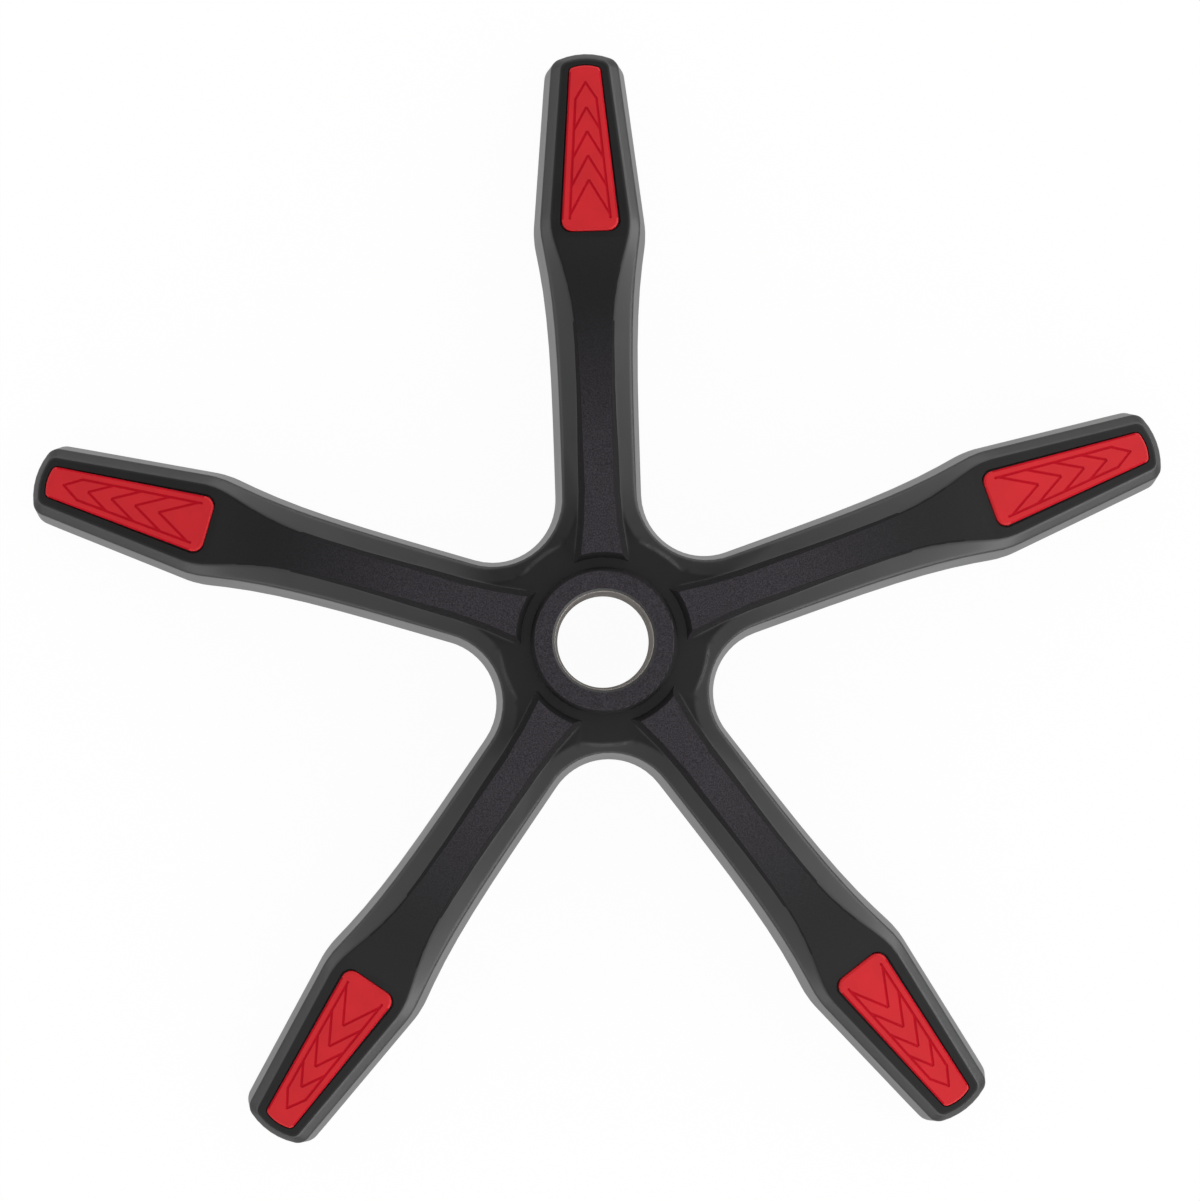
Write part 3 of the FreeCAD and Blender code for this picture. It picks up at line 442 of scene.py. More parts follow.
def fade_out(tree, place, start, end):
    """1 inside a circle about the hub's axis and 0 outside a wider one."""
    parts = tree.nodes.new("ShaderNodeSeparateXYZ")
    tree.links.new(place, parts.inputs[0])
    square = maths(tree, "ADD", maths(tree, "MULTIPLY", parts.outputs["X"], parts.outputs["X"]),
                   maths(tree, "MULTIPLY", parts.outputs["Y"], parts.outputs["Y"]))
    fade = node(tree, "ShaderNodeMapRange", interpolation_type="SMOOTHSTEP")
    fade.inputs["From Min"].default_value = start
    fade.inputs["From Max"].default_value = end
    fade.inputs["To Min"].default_value = 1.0
    fade.inputs["To Max"].default_value = 0.0
    tree.links.new(maths(tree, "SQRT", square), fade.inputs["Value"])
    return fade.outputs["Result"]


def bump(tree, shader, height, distance, strength):
    """Bump node on a shader, from a height socket; the strength is a socket or a number."""
    made = node(tree, "ShaderNodeBump", Distance=distance)
    if isinstance(strength, (int, float)):
        made.inputs["Strength"].default_value = strength
    else:
        tree.links.new(strength, made.inputs["Strength"])
    tree.links.new(height, made.inputs["Height"])
    tree.links.new(made.outputs["Normal"], shader.inputs["Normal"])
    return made


def grained_nylon(settings):
    """Textured top: coarse grain round the hub that fades to a fine one along the arms; the coarse grain's
    lighter colour is partly painted light, which fades with it along the arms.
    """
    material, tree, shader = new_material(
        "grained_nylon", settings.grain_and_light_colour, 0.3, ior=1.53, specular=0.22)
    links = tree.links
    place = object_coordinates(tree)
    # The coarse grain and its painted light fade out together along the arms
    coarse_and_lit = fade_out(tree, place, settings.grain_and_light_fade_start, settings.grain_and_light_fade_end)
    grain = noise(tree, place, settings.grain_size, detail=3.0, roughness=0.6)
    blotch = noise(tree, place, 0.022, detail=3.0)
    tint = ramp(tree, grain, [
        (0.34, tinted(settings.grain_and_light_colour, 0.5)),
        (0.66, tinted(settings.grain_and_light_colour, 1.7))])
    plain = ramp(tree, grain, [
        (0.32, tinted(settings.fine_colour, 0.85)),
        (0.70, tinted(settings.fine_colour, 1.2))])
    colour = mixed(tree, "RGBA", coarse_and_lit, plain.outputs["Color"], tint.outputs["Color"])
    links.new(colour, shader.inputs["Base Color"])
    rough = maths(tree, "ADD", 0.26, maths(tree, "MULTIPLY", coarse_and_lit, 0.06))
    rough = maths(tree, "ADD", rough, maths(tree, "MULTIPLY", blotch, 0.06))
    links.new(rough, shader.inputs["Roughness"])
    bump(tree, shader, grain, 0.00012, maths(tree, "ADD", 0.2, maths(tree, "MULTIPLY", coarse_and_lit, 0.5)))
    return material


def smooth_nylon(settings):
    """Satin flanks and walls, with faint flow marks and a very fine grain."""
    material, tree, shader = new_material("smooth_nylon", settings.colour, 0.3, ior=1.53)
    links = tree.links
    place = object_coordinates(tree)
    fine = noise(tree, place, 0.0004)
    flow = noise(tree, place, 0.030, detail=4.0, roughness=0.6)
    tint = ramp(tree, flow, [
        (0.30, tinted(settings.colour, 0.9)),
        (0.70, tinted(settings.colour, 1.25))])
    dull = ramp(tree, fine, [
        (0.30, tinted(settings.hub_colour, 0.85)),
        (0.70, tinted(settings.hub_colour, 1.15))])
    on_land = fade_out(tree, place, LAND_RADIUS - 4 * MM, LAND_RADIUS + 15 * MM)
    colour = mixed(tree, "RGBA", on_land, tint.outputs["Color"], dull.outputs["Color"])
    links.new(colour, shader.inputs["Base Color"])
    links.new(maths(tree, "ADD", 0.26, maths(tree, "MULTIPLY", flow, 0.08)), shader.inputs["Roughness"])
    relief = bump(tree, shader, fine, 0.00003, 0.35)
    # The softening leaves out the boss's foot, where it would lift a bright ring
    soft = node(tree, "ShaderNodeBevel", samples=6, Radius=settings.soft_round)
    plain = tree.nodes.new("ShaderNodeNewGeometry")
    at_boss = fade_out(tree, place, 43 * MM, 50 * MM)
    normal = mixed(tree, "VECTOR", at_boss, soft.outputs["Normal"], plain.outputs["Normal"])
    links.new(normal, relief.inputs["Normal"])
    return material


def pad_border_nylon(settings):
    """Clean black border along the strips' edges and round the pads."""
    material, tree, shader = new_material(
        "pad_border_nylon", settings.colour, 0.3, ior=1.53, specular=0.25)
    place = object_coordinates(tree)
    fine = noise(tree, place, 0.0004)
    cloud = noise(tree, place, 0.018, detail=3.0)
    tint = ramp(tree, cloud, [
        (0.30, tinted(settings.colour, 0.85)),
        (0.70, tinted(settings.colour, 1.15))])
    tree.links.new(tint.outputs["Color"], shader.inputs["Base Color"])
    rough = maths(tree, "ADD", 0.27, maths(tree, "MULTIPLY", cloud, 0.06))
    tree.links.new(rough, shader.inputs["Roughness"])
    bump(tree, shader, fine, 0.00003, 0.3)
    return material


def shaded_side_nylon(settings):
    """Dull sides of the raised boss and strips: painted shade, a dark copy of the nylon that hardly
    reflects, standing in for the shade on their walls and feet.
    """
    material, tree, shader = new_material(
        "shaded_side_nylon", settings.side_shade_colour, 0.6, ior=1.53, specular=0.05)
    fine = noise(tree, object_coordinates(tree), 0.0006)
    tint = ramp(tree, fine, [
        (0.30, tinted(settings.side_shade_colour, 0.8)),
        (0.70, tinted(settings.side_shade_colour, 1.2))])
    tree.links.new(tint.outputs["Color"], shader.inputs["Base Color"])
    bump(tree, shader, fine, 0.00004, 0.4)
    return material


def lip_shadow_gap(settings):
    """Dark edge round the bore: painted shadow, standing in for the shadowed gap between the steel sleeve
    and the boss.
    """
    material, tree, shader = new_material("lip_shadow_gap", settings.colour, 0.22, ior=1.53, specular=0.3)
    rings = noise(tree, object_coordinates(tree), 0.0005)
    # The nylon's colour darkened to a quarter or less is the painted shadow
    tint = ramp(tree, rings, [
        (0.3, tinted(settings.colour, 0.25)),
        (0.7, tinted(settings.colour, 0.45))])
    tree.links.new(tint.outputs["Color"], shader.inputs["Base Color"])
    bump(tree, shader, rings, 0.00002, 0.3)
    return material


def turned_steel(settings):
    """Turned steel with fine rings and a few darker stains."""
    material, tree, shader = new_material(
        "turned_steel", settings.colour, 0.55, metallic=0.35, specular=0.1)
    links = tree.links
    place = object_coordinates(tree)
    stains = noise(tree, place, 0.016, detail=4.0, roughness=0.65)
    tint = ramp(tree, stains, [
        (0.32, tinted(settings.colour, 0.5)),
        (0.46, tinted(settings.colour, 0.9)),
        (0.70, tinted(settings.colour, 1.2))])
    links.new(tint.outputs["Color"], shader.inputs["Base Color"])
    parts = tree.nodes.new("ShaderNodeSeparateXYZ")
    links.new(place, parts.inputs[0])
    rings = node(tree, "ShaderNodeTexNoise", noise_dimensions="1D", Scale=3000.0, Detail=2.0)
    links.new(parts.outputs["Z"], rings.inputs["W"])
    turning = rings.outputs["Fac"]
    links.new(maths(tree, "ADD", 0.50, maths(tree, "MULTIPLY", turning, 0.15)), shader.inputs["Roughness"])
    bump(tree, shader, turning, 0.00002, 0.5)
    return material


def satin_red(name, colour, specular):
    """Satin red moulding with a fine grain and faint cloudiness."""
    material, tree, shader = new_material(name, colour, 0.45, specular=specular)
    place = object_coordinates(tree)
    fine = noise(tree, place, 0.0004)
    cloud = noise(tree, place, 0.014, detail=3.0)
    tint = ramp(tree, cloud, [(0.3, tinted(colour, 0.95)), (0.7, tinted(colour, 1.05))])
    tree.links.new(tint.outputs["Color"], shader.inputs["Base Color"])
    tree.links.new(maths(tree, "ADD", 0.42, maths(tree, "MULTIPLY", fine, 0.1)), shader.inputs["Roughness"])
    bump(tree, shader, fine, 0.00003, 0.4)
    return material


def open_to_sky(mesh, tree):
    """Numbers of the faces that nothing covers from above, which are the outer skin's."""
    lift = 0.00005
    found = set()
    for face in mesh.faces:
        start = face.calc_center_median() + face.normal * lift
        if face.normal.z > -0.2 and tree.ray_cast(start, Vector((0, 0, 1)))[0] is None:
            found.add(face.index)
    return found


class STARBASE_OT_moulding(bpy.types.Operator):
    """Moulding with rounded outer edges, grained top and smooth flanks"""
    bl_idname = "star_base.moulding"
    bl_label = "Base moulding"

    def execute(self, context):
        settings = context.scene.star_nylon
        piece = copy_of_node("base_moulding", "moulding")
        self.weigh_edges(piece, settings)
        apply_modifier(piece, "BEVEL", width=settings.shoulder_round, segments=4, limit_method="WEIGHT",
                       use_clamp_overlap=False)
        self.step_down(piece, settings)
        self.end_grain(piece, settings)
        shade(piece, 32)
        piece.data.materials.clear()
        for finish in (smooth_nylon, grained_nylon, lip_shadow_gap, pad_border_nylon, shaded_side_nylon):
            piece.data.materials.append(finish(settings))
        for face in piece.data.polygons:
            face.material_index = self.finish_of(face.center, face.normal, settings)
        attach(piece, "root")
        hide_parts("base_moulding")
        return {"FINISHED"}

    def finish_of(self, place, normal, settings):
        """Finish of a face, by its place and normal."""
        reach = place.xy.length
        local = in_arm(place, arm_angle(place))
        if reach < BOSS_FOOT and place.z > LAND + 0.1 * MM:
            level = 0.9 if reach > LIP_EDGE + 3 * MM else 0.9995
            if normal.z > level:
                return GRAINED
            # Painted shadow on the lip round the bore, painted shade on the boss's side
            return LIP_SHADOW if reach < LIP_EDGE + 1 * MM and place.z > -1 * MM else SHADED_SIDES
        if place.z < foot_height(local.x) + 0.1 * MM:
            return SMOOTH
        if self.is_top(place, normal, 2.0):
            return GRAINED if reach < settings.grain_end else BORDER
        # Strip sides near the hub get painted shade, further out the plain border
        return SHADED_SIDES if reach < SHADED_SIDES_END else BORDER

    def is_top(self, place, normal, limit):
        """Whether a face lies in an arm's top, to within an angle in degrees."""
        angle = arm_angle(place)
        local, facing = in_arm(place, angle), in_arm(normal, angle)
        level = Vector((arched(local.x) / ARCH_RADIUS, 0, 1)).normalized()
        near_top = abs(place.z - top_height(local.x)) < 0.5 * MM
        return near_top and facing.dot(level) > math.cos(math.radians(limit))

    def rounding(self, edge, settings):
        """Width of the rounding that an edge of the outer skin gets, or none."""
        turn = math.degrees(edge.calc_face_angle())
        place = (edge.verts[0].co + edge.verts[1].co) / 2
        local = in_arm(place, arm_angle(place))
        reach = place.xy.length
        top, foot = top_height(local.x), foot_height(local.x)
        # How level the steeper and the flatter of the edge's two faces lie, from 0 to 1
        steeper, flatter = sorted(face.normal.z for face in edge.link_faces)
        on_boss = reach < BOSS_FOOT - 0.5 * MM and place.z > LAND + 0.5 * MM
        if turn < 5 or reach < LIP_EDGE + 2 * MM or on_boss:
            return 0.0
        # The land's crescent, which dies out towards the arms
        if abs(reach - LAND_RADIUS) < 0.3 * MM and flatter > 0.99:
            return settings.crescent_round * math.sqrt(1 - crescent_fading(local))
        # The flanks' creases on the land, which the shader softens
        if abs(place.z - LAND) < 0.05 * MM and steeper > 0.93:
            return 0.0
        # The seat of a pad: only its upper edge is rounded
        if local.x > PAD_START - 2 * MM and steeper < 0.3 and flatter > 0.9:
            return settings.fine_round if place.z > top - 1 * MM and turn > 20 else 0.0
        # The shoulder between flank and wall
        if steeper < 0.45 and place.z < foot - 0.5 * MM:
            return self.shoulder_rounding(local, settings) if turn > 20 else 0.0
        # The raised strip's upper edge and its foot
        if turn > 12 and place.z > foot - 0.1 * MM:
            near_hub = settings.edge_round if place.z > top - 0.05 * MM else 0.0
            return mix(near_hub, settings.fine_round, share_between(local.x, *EDGE_FINING))
        return 0.0

    def shoulder_rounding(self, local, settings):
        """Width between flank and wall: small in the hub's corners and beside the pads, wide between."""
        widening = share_between(off_middle(local), *CORNER_WIDENING)
        near_hub = mix(settings.corner_round, settings.shoulder_round, widening)
        return mix(near_hub, settings.tip_round, share_between(local.x, *SHOULDER_NARROWING))

    def weigh_edges(self, piece, settings):
        """Writes each outer edge's rounding as its bevel weight."""
        mesh = bmesh.new()
        mesh.from_mesh(piece.data)
        outer = open_to_sky(mesh, BVHTree.FromBMesh(mesh))
        weights = []
        creases = []
        for edge in mesh.edges:
            is_outer = len(edge.link_faces) == 2 and all(face.index in outer for face in edge.link_faces)
            weights.append(self.rounding(edge, settings) / settings.shoulder_round if is_outer else 0.0)
            on_land = all(abs(vert.co.z - LAND) < 0.02 * MM for vert in edge.verts)
            if is_outer and on_land and edge.calc_face_angle() > math.radians(1):
                creases.append(edge.index)
        mesh.free()
        for index in creases:
            piece.data.edges[index].use_edge_sharp = True
        layer = piece.data.attributes.new("bevel_weight_edge", "FLOAT", "EDGE")
        layer.data.foreach_set("value", weights)

    def step_down(self, piece, settings):
        """Sinks the land's crescents by a small step that dies out towards the arms."""
        # The crescent's rounding lies between these two radii
        inner, outer = LAND_RADIUS - 0.45 * MM, LAND_RADIUS + 0.38 * MM
        for vert in piece.data.vertices:
            reach = vert.co.xy.length
            if abs(vert.co.z - LAND) > 0.5 * MM or not inner < reach < outer + 0.2 * MM:
                continue
            fading = crescent_fading(in_arm(vert.co, arm_angle(vert.co)))
            vert.co.z -= settings.crescent_step * share_between(reach, inner, outer) * (1 - fading ** 2)

    def end_grain(self, piece, settings):
        """Cuts the arms' tops across where the grain stops short of the pads."""
        for number in range(ARM_COUNT):
            angle = FIRST_ARM + number * ARM_STEP
            along = Vector((math.cos(angle), math.sin(angle), 0))
            make_active(piece)
            bpy.ops.object.mode_set(mode="EDIT")
            bpy.ops.mesh.select_mode(type="FACE")
            bpy.ops.mesh.select_all(action="DESELECT")
            mesh = bmesh.from_edit_mesh(piece.data)
            for face in mesh.faces:
                place = face.calc_center_median()
                ours = place.dot(along) > place.xy.length * math.cos(ARM_STEP / 2)
                face.select_set(ours and self.is_top(place, face.normal, 3.0))
            bmesh.update_edit_mesh(piece.data)
            bpy.ops.mesh.bisect(plane_co=along * settings.grain_end, plane_no=along)
            bpy.ops.object.mode_set(mode="OBJECT")


class STARBASE_OT_lift_sleeve(bpy.types.Operator):
    """Steel sleeve of the lift bore, spun from its section"""
    bl_idname = "star_base.lift_sleeve"
    bl_label = "Lift sleeve"

    def execute(self, context):
        settings = context.scene.star_sleeve
        outer = settings.bore + settings.wall
        deselect_all()
        bpy.ops.mesh.primitive_plane_add(size=1)
        piece = bpy.context.object
        piece.name = "sleeve"
        piece.data.name = "sleeve"
        bpy.ops.object.mode_set(mode="EDIT")
        bpy.ops.transform.rotate(value=math.radians(90), orient_axis="X", center_override=(0, 0, 0))
        bpy.ops.transform.resize(value=(settings.wall, 1, settings.length), center_override=(0, 0, 0))
        bpy.ops.transform.translate(value=(outer - settings.wall / 2, 0, -settings.length / 2))
        self.select_inner(piece, (0.0, -settings.length))
        bpy.ops.mesh.subdivide(number_cuts=1)
        self.select_inner(piece, (-settings.length / 2,))
        bpy.ops.transform.translate(value=(0, 0, settings.length / 2 - settings.straight))
        self.select_inner(piece, (0.0,))
        bpy.ops.mesh.bevel(offset=settings.rim_round, segments=3, affect="VERTICES")
        self.select_inner(piece, (-settings.length,))
        bpy.ops.transform.translate(value=(settings.bore_end - settings.bore, 0, 0))
        bpy.ops.mesh.select_all(action="SELECT")
        bpy.ops.mesh.delete(type="ONLY_FACE")
        bpy.ops.mesh.select_all(action="SELECT")
        bpy.ops.mesh.spin(
            steps=settings.segments, angle=math.radians(360), center=(0, 0, 0), axis=(0, 0, 1))
        bpy.ops.mesh.select_all(action="SELECT")
        bpy.ops.mesh.remove_doubles(threshold=0.000005)
        bpy.ops.mesh.normals_make_consistent(inside=False)
        bpy.ops.object.mode_set(mode="OBJECT")
        shade(piece, 32)
        piece.data.materials.append(turned_steel(settings))
        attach(piece, "root")
        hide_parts("lift_sleeve")
        return {"FINISHED"}

    def select_inner(self, piece, heights):
        """Selects the section's inner corners at some heights."""
        bpy.ops.mesh.select_mode(type="VERT")
        bpy.ops.mesh.select_all(action="DESELECT")
        mesh = bmesh.from_edit_mesh(piece.data)
        lowest = min(vert.co.x for vert in mesh.verts)
        for vert in mesh.verts:
            level = any(abs(vert.co.z - height) < 1e-5 for height in heights)
            vert.select_set(level and vert.co.x < lowest + 1e-4)
        mesh.select_flush(True)
        bmesh.update_edit_mesh(piece.data)


class STARBASE_OT_foot_pads(bpy.types.Operator):
    """Red pads let into the arms' ends, with rounded edges and engraved lines"""
    bl_idname = "star_base.foot_pads"
    bl_label = "Foot pads"

    def execute(self, context):
        settings = context.scene.star_pads
        pad = self.plate(settings)
        self.engrave(pad, settings)
        shade(pad, 32)
        pad.data.materials.append(satin_red("satin_red", settings.colour, 0.2))
        # Second slot: the same red darkened, painted shade in the grooves
        pad.data.materials.append(satin_red("groove_shade_red", settings.groove_shade_colour, 0.05))
        self.mark_groove_shade(pad, settings)
        tilt = Matrix.Rotation(RAMP_ANGLE, 4, "Y")
        spot = Vector((PAD_START, 0, top_height(PAD_START))) - tilt.to_3x3() @ Vector((0, 0, PAD_RECESS))
        for number in range(ARM_COUNT):
            make_active(pad)
            bpy.ops.object.duplicate()
            piece = bpy.context.object
            piece.name = piece.data.name = "pad_%d" % (number + 1)
            turn = Matrix.Rotation(FIRST_ARM + number * ARM_STEP, 4, "Z")
            piece.matrix_world = turn @ Matrix.Translation(spot) @ tilt
            bpy.ops.object.transform_apply(location=True, rotation=True, scale=True)
            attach(piece, "root")
            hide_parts("foot_pad_%d" % (number + 1))
        make_active(pad)
        bpy.ops.object.delete()
        return {"FINISHED"}

    def select_verts(self, piece, wanted):
        bpy.ops.mesh.select_mode(type="VERT")
        bpy.ops.mesh.select_all(action="DESELECT")
        mesh = bmesh.from_edit_mesh(piece.data)
        for vert in mesh.verts:
            vert.select_set(wanted(vert.co))
        mesh.select_flush(True)
        bmesh.update_edit_mesh(piece.data)

    def plate(self, settings):
        """A tapered plate with round corners, a bulging outer end and a rounded upper edge."""
        inner, outer, radius = settings.inner_half, settings.outer_half, settings.end_radius
        shoulder = settings.length - radius + math.sqrt(radius ** 2 - outer ** 2)
        deselect_all()
        bpy.ops.mesh.primitive_plane_add(size=1)
        piece = bpy.context.object
        piece.name = "pad"
        bpy.ops.object.mode_set(mode="EDIT")
        bpy.ops.transform.resize(value=(shoulder, 2 * inner, 1), center_override=(0, 0, 0))
        bpy.ops.transform.translate(value=(shoulder / 2, 0, settings.thickness))
        self.select_verts(piece, lambda co: co.x > shoulder / 2)
        bpy.ops.transform.resize(value=(1, outer / inner, 1), center_override=(0, 0, 0))
        # The outer end bulges along an arc, in this many parts
        parts = 12
        bpy.ops.mesh.subdivide(number_cuts=parts - 1)
        for step in range(1, parts):
            across = mix(-outer, outer, step / parts)
            bulge = math.sqrt(radius ** 2 - across ** 2) - math.sqrt(radius ** 2 - outer ** 2)
            self.select_verts(piece, lambda co: co.x > shoulder / 2 and abs(co.y - across) < 1e-5)
            bpy.ops.transform.translate(value=(bulge, 0, 0))
        corners = (
            (0, inner, settings.inner_corner, INNER_TURN),
            (shoulder, outer, settings.outer_corner, OUTER_TURN))
        for x, half, corner, turn in corners:
            self.select_verts(piece, lambda co: abs(co.x - x) < 1e-5 and abs(abs(co.y) - half) < 1e-5)
            offset = corner * math.tan(math.radians(turn / 2))
            bpy.ops.mesh.bevel(offset=offset, segments=8, affect="VERTICES")
        bpy.ops.mesh.select_all(action="SELECT")
        bpy.ops.mesh.extrude_region_move(TRANSFORM_OT_translate={"value": (0, 0, -settings.thickness)})
        bpy.ops.mesh.select_all(action="SELECT")
        bpy.ops.mesh.normals_make_consistent(inside=False)
        bpy.ops.mesh.select_mode(type="EDGE")
        bpy.ops.mesh.select_all(action="DESELECT")
        mesh = bmesh.from_edit_mesh(piece.data)
        for edge in mesh.edges:
            edge.select_set(all(abs(vert.co.z - settings.thickness) < 1e-6 for vert in edge.verts))
        bmesh.update_edit_mesh(piece.data)
        bpy.ops.mesh.bevel(offset=settings.edge_round, segments=6, affect="EDGES")
        bpy.ops.object.mode_set(mode="OBJECT")
        return piece

    def routes(self):
        """Start and end of each engraved line: a pointed frame with four chevrons in it, side by side."""
        foot, foot_half = 6.6 * MM, 10.5 * MM
        shoulder, shoulder_half = 71.5 * MM, 5.5 * MM
        tip = 80.7 * MM
        # The chevrons' points along the pad, in millimetres
        first_point, pitch = 27.3, 13.25
        widening = math.tan(math.radians(28.5))
        narrowing = (foot_half - shoulder_half) / (shoulder - foot)
        found = []
        for side in (1, -1):
            found.append(((foot, side * foot_half), (shoulder, side * shoulder_half)))
            found.append(((shoulder, side * shoulder_half), (tip, 0.0)))
            for number in range(4):
                point = (first_point + pitch * number) * MM
                half = foot_half - narrowing * (point - foot)
                back = half / (widening - narrowing)
                found.append(((point, 0.0), (point - back, side * back * widening)))
        return found

    def engrave(self, pad, settings):
        """Cuts the round grooves and adds the pegs below."""
        height = settings.thickness + settings.groove_radius - settings.groove_depth
        frame_ends = set()
        for number, (start, end) in enumerate(self.routes()):
            # A few thousandths of a millimetre between the cuts' heights keep their surfaces apart
            stagger = 0.003 * MM * number
            if start[1] != 0.0:
                frame_ends.update((start, end))
            start, end = Vector((*start, height + stagger)), Vector((*end, height + stagger))
            run = end - start
            deselect_all()
            bpy.ops.mesh.primitive_cylinder_add(
                vertices=17, radius=settings.groove_radius, depth=run.length, location=(start + end) / 2,
                rotation=run.to_track_quat("Z", "Y").to_euler())
            self.use_tool(pad, bpy.context.object, "DIFFERENCE")
        # Spheres a little wider than the grooves round off the ends of the frame's sides
        for x, y in sorted(frame_ends):
            deselect_all()
            bpy.ops.mesh.primitive_uv_sphere_add(
                segments=18, ring_count=9, radius=settings.groove_radius * 1.06,
                location=(x, y, height + 0.01 * MM))
            self.use_tool(pad, bpy.context.object, "DIFFERENCE")
        for x in PEG_PLACES:
            deselect_all()
            bpy.ops.mesh.primitive_cylinder_add(
                vertices=32, radius=settings.peg_radius, depth=settings.peg_length + 1 * MM,
                location=(x, 0, (1 * MM - settings.peg_length) / 2))
            self.use_tool(pad, bpy.context.object, "UNION")

    def use_tool(self, pad, tool, operation):
        """Cuts a tool out of the pad or joins it to the pad, and takes the tool away."""
        apply_modifier(pad, "BOOLEAN", operation=operation, object=tool, solver="EXACT")
        make_active(tool)
        bpy.ops.object.delete()
        make_active(pad)
        bpy.ops.object.mode_set(mode="EDIT")
        bpy.ops.mesh.select_all(action="SELECT")
        bpy.ops.mesh.remove_doubles(threshold=0.004 * MM)
        bpy.ops.mesh.dissolve_degenerate(threshold=0.002 * MM)
        bpy.ops.object.mode_set(mode="OBJECT")

    def mark_groove_shade(self, pad, settings):
        """Gives the grooves' painted shade, a darker copy of the red, to the faces below the pad's flat
        top, but not at its ends.
        """
        half, start, end = settings.inner_half - 2.5 * MM, 3 * MM, 84 * MM
        lowest, highest = 0.6 * settings.thickness, settings.thickness - 0.03 * MM
        for face in pad.data.polygons:
            x, y, z = face.center
            if abs(y) < half and start < x < end and lowest < z < highest:
                face.material_index = 1


def mixed_shader(tree, share, first, second):
    """A Mix Shader node's result: the first shader at a share of 0 and the second at 1."""
    made = tree.nodes.new("ShaderNodeMixShader")
    tree.links.new(share, made.inputs["Fac"])
    tree.links.new(first.outputs[0], made.inputs[1])
    tree.links.new(second.outputs[0], made.inputs[2])
    return made.outputs[0]


def white_to_camera(tree, lit, settings):
    """The lit shader mixed with white where the camera or glass sees it, and grey in reflections."""
    path = tree.nodes.new("ShaderNodeLightPath")
    seen = maths(tree, "MAXIMUM", path.outputs["Is Camera Ray"], path.outputs["Is Glossy Ray"])
    seen = maths(tree, "MAXIMUM", seen, path.outputs["Is Transmission Ray"])
    grey = (settings.floor_grey, settings.floor_grey, settings.floor_grey, 1)
    colour = mixed(tree, "RGBA", path.outputs["Is Glossy Ray"], (1, 1, 1, 1), grey)
    white = node(tree, "ShaderNodeEmission", Strength=1.0)
    tree.links.new(colour, white.inputs["Color"])
    return mixed_shader(tree, maths(tree, "MULTIPLY", seen, settings.floor_white), lit, white)


def add_floor(settings, height):
    deselect_all()
    bpy.ops.mesh.primitive_plane_add(size=settings.floor_size, location=(0, 0, height))
    floor = bpy.context.object
    floor.name = "studio_floor"
    material = bpy.data.materials.new("pale_floor")
    material.use_nodes = True
    tree = material.node_tree
    tree.nodes.clear()
    lit = node(tree, "ShaderNodeBsdfDiffuse", Color=(0.9, 0.9, 0.9, 1))
    output = tree.nodes.new("ShaderNodeOutputMaterial")
    tree.links.new(white_to_camera(tree, lit, settings), output.inputs["Surface"])
    floor.data.materials.append(material)


def add_world(settings):
    """Soft dome: a dark patch overhead where the camera hangs, brighter towards the horizon."""
    world = bpy.data.worlds.new("studio_dome")
    bpy.context.scene.world = world
    world.use_nodes = True
    tree = world.node_tree
    tree.nodes.clear()
    direction = tree.nodes.new("ShaderNodeTexCoord").outputs["Generated"]

    def towards(tilt, azimuth):
        """Cosine between a direction of the sky and one given by its tilt from the zenith and azimuth."""
        tilt, azimuth = math.radians(tilt), math.radians(azimuth)
        axis = (math.sin(tilt) * math.cos(azimuth), math.sin(tilt) * math.sin(azimuth), math.cos(tilt))
        made = node(tree, "ShaderNodeVectorMath", operation="DOT_PRODUCT")
        tree.links.new(direction, made.inputs[0])
        made.inputs[1].default_value = axis
        return made.outputs["Value"]

    patch, bright_side = towards(12, 112), towards(90, 50)
    # Angle from the middle of the dark patch, and the dome's brightness there
    levels = ramp(tree, patch, [
        (math.cos(math.radians(angle)), (level, level, level))
        for angle, level in (
            (90, 1.0), (80, 0.52), (70, 0.35), (55, 0.268), (46, 0.24), (38, 0.222), (30, 0.187),
            (24, 0.133), (20, 0.062), (15, 0.018), (8, 0.0027))])
    side = maths(tree, "MULTIPLY", bright_side, maths(tree, "ABSOLUTE", bright_side))
    lean = maths(tree, "ADD", 1.0, maths(tree, "MULTIPLY", side, settings.dome_lean))
    dome = node(tree, "ShaderNodeBackground")
    tree.links.new(levels.outputs["Color"], dome.inputs["Color"])
    tree.links.new(maths(tree, "MULTIPLY", lean, settings.dome_strength), dome.inputs["Strength"])
    path = tree.nodes.new("ShaderNodeLightPath")
    white = node(tree, "ShaderNodeBackground", Strength=1.0)
    seen = maths(tree, "MAXIMUM", path.outputs["Is Camera Ray"], path.outputs["Is Transmission Ray"])
    output = tree.nodes.new("ShaderNodeOutputWorld")
    tree.links.new(mixed_shader(tree, seen, dome, white), output.inputs["Surface"])


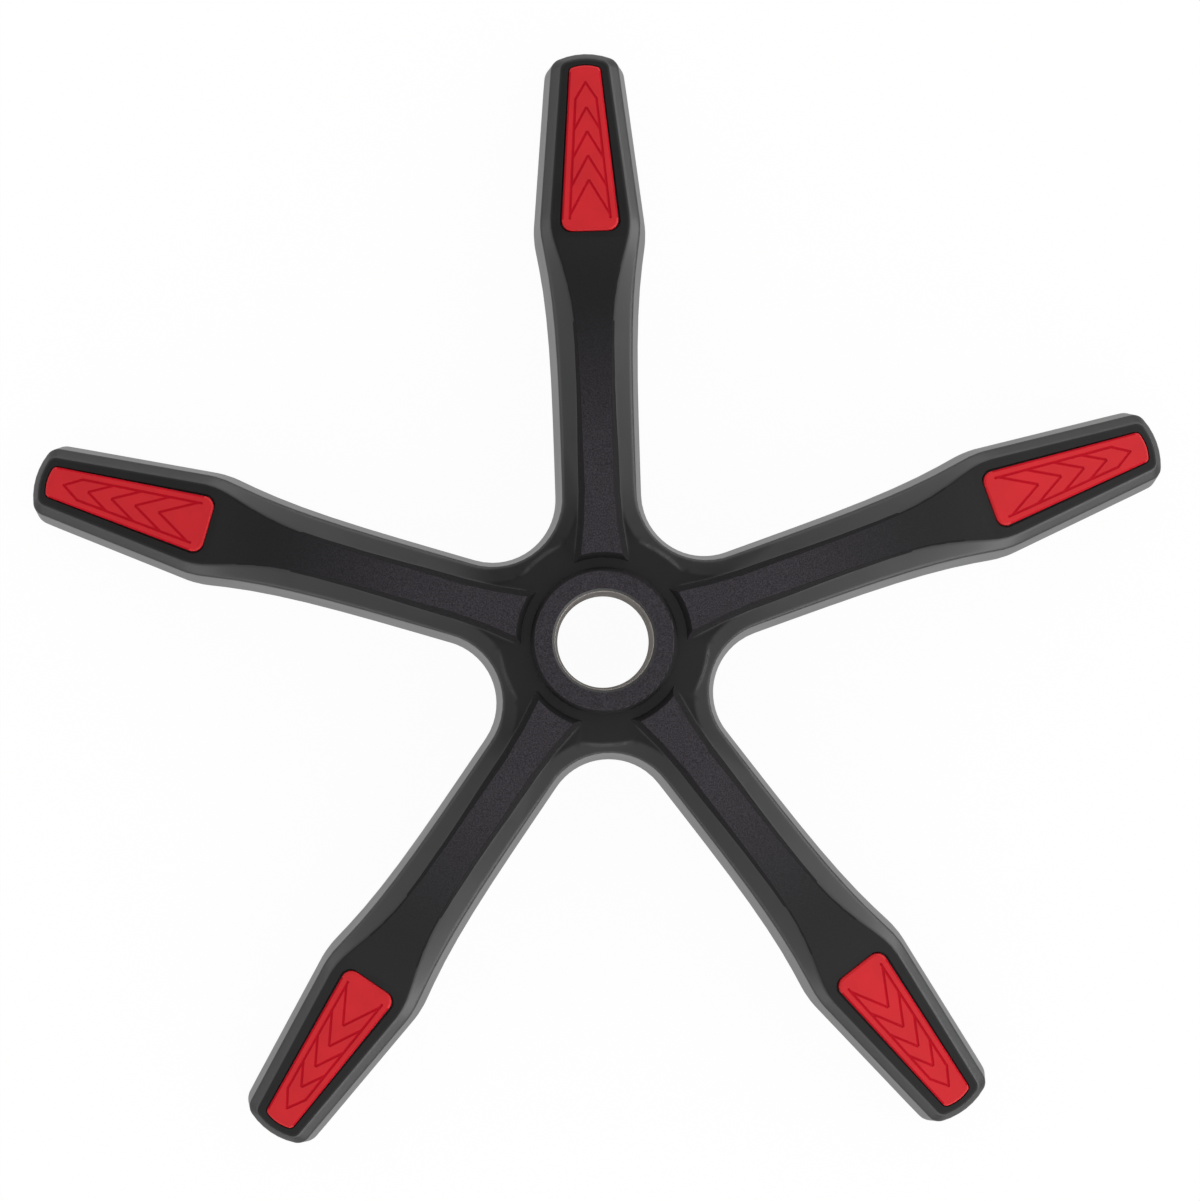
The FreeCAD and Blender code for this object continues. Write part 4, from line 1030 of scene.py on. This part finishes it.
def add_camera(settings):
    """Camera above the hub, at the photograph's small tilt and turn."""
    # Pixels of the photograph: the focal length, its middle, the point straight below the camera and
    # the hub's top
    focal = 3960.0
    middle = Vector((600.0, 600.5))
    foot = Vector((554.0, 700.0))
    hub = Vector((604.3, 640.5))
    hub_top = Vector((0, 0, 1 * MM))
    turn = math.radians(91.84)

    def towards(pixel):
        """Direction of a pixel in the camera's own frame, one unit deep."""
        return Vector(((pixel.x - middle.x) / focal, -(pixel.y - middle.y) / focal, -1))

    up = -towards(foot).normalized()
    along = Vector((math.cos(turn), math.sin(turn), 0))
    arm = (along - up * along.dot(up)).normalized()
    to_world = Matrix((arm.cross(up), arm, up))
    place = hub_top - to_world @ (towards(hub) * settings.camera_distance)
    data = bpy.data.cameras.new("photo_camera")
    data.lens = settings.lens
    data.clip_start = 0.05
    data.clip_end = 50
    camera = bpy.data.objects.new("photo_camera", data)
    bpy.context.scene.collection.objects.link(camera)
    camera.matrix_world = Matrix.Translation(place) @ to_world.to_4x4()
    bpy.context.scene.camera = camera


class STARBASE_OT_stage(bpy.types.Operator):
    """Pale floor, soft light and the camera"""
    bl_idname = "star_base.stage"
    bl_label = "Studio"

    def execute(self, context):
        settings = context.scene.star_stage
        add_floor(settings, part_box("base_moulding")[0].z)
        add_world(settings)
        add_camera(settings)
        context.scene.view_settings.view_transform = "Standard"
        return {"FINISHED"}


class VIEW3D_PT_star_base(bpy.types.Panel):
    """Pieces of the chair base"""
    bl_label = "Chair Base"
    bl_space_type = "VIEW_3D"
    bl_region_type = "UI"
    bl_category = "Chair Base"

    def draw(self, context):
        for operator, settings in STEPS:
            box = self.layout.box()
            box.operator(operator.bl_idname)
            group = getattr(context.scene, settings)
            for name in group.bl_rna.properties.keys():
                if name not in ("rna_type", "name"):
                    box.prop(group, name)


GROUPS = {
    "star_nylon": NylonSettings,
    "star_sleeve": SleeveSettings,
    "star_pads": PadSettings,
    "star_stage": StageSettings,
}
STEPS = (
    (STARBASE_OT_moulding, "star_nylon"),
    (STARBASE_OT_lift_sleeve, "star_sleeve"),
    (STARBASE_OT_foot_pads, "star_pads"),
    (STARBASE_OT_stage, "star_stage"),
)


def register():
    for name, group in GROUPS.items():
        bpy.utils.register_class(group)
        setattr(bpy.types.Scene, name, bpy.props.PointerProperty(type=group))
    for operator, _ in STEPS:
        bpy.utils.register_class(operator)
    bpy.utils.register_class(VIEW3D_PT_star_base)


def unregister():
    bpy.utils.unregister_class(VIEW3D_PT_star_base)
    for operator, _ in reversed(STEPS):
        bpy.utils.unregister_class(operator)
    for name, group in reversed(GROUPS.items()):
        delattr(bpy.types.Scene, name)
        bpy.utils.unregister_class(group)


def main():
    register()
    bpy.ops.star_base.moulding()
    bpy.ops.star_base.lift_sleeve()
    bpy.ops.star_base.foot_pads()
    bpy.ops.star_base.stage()


if __name__ == "__main__":
    main()
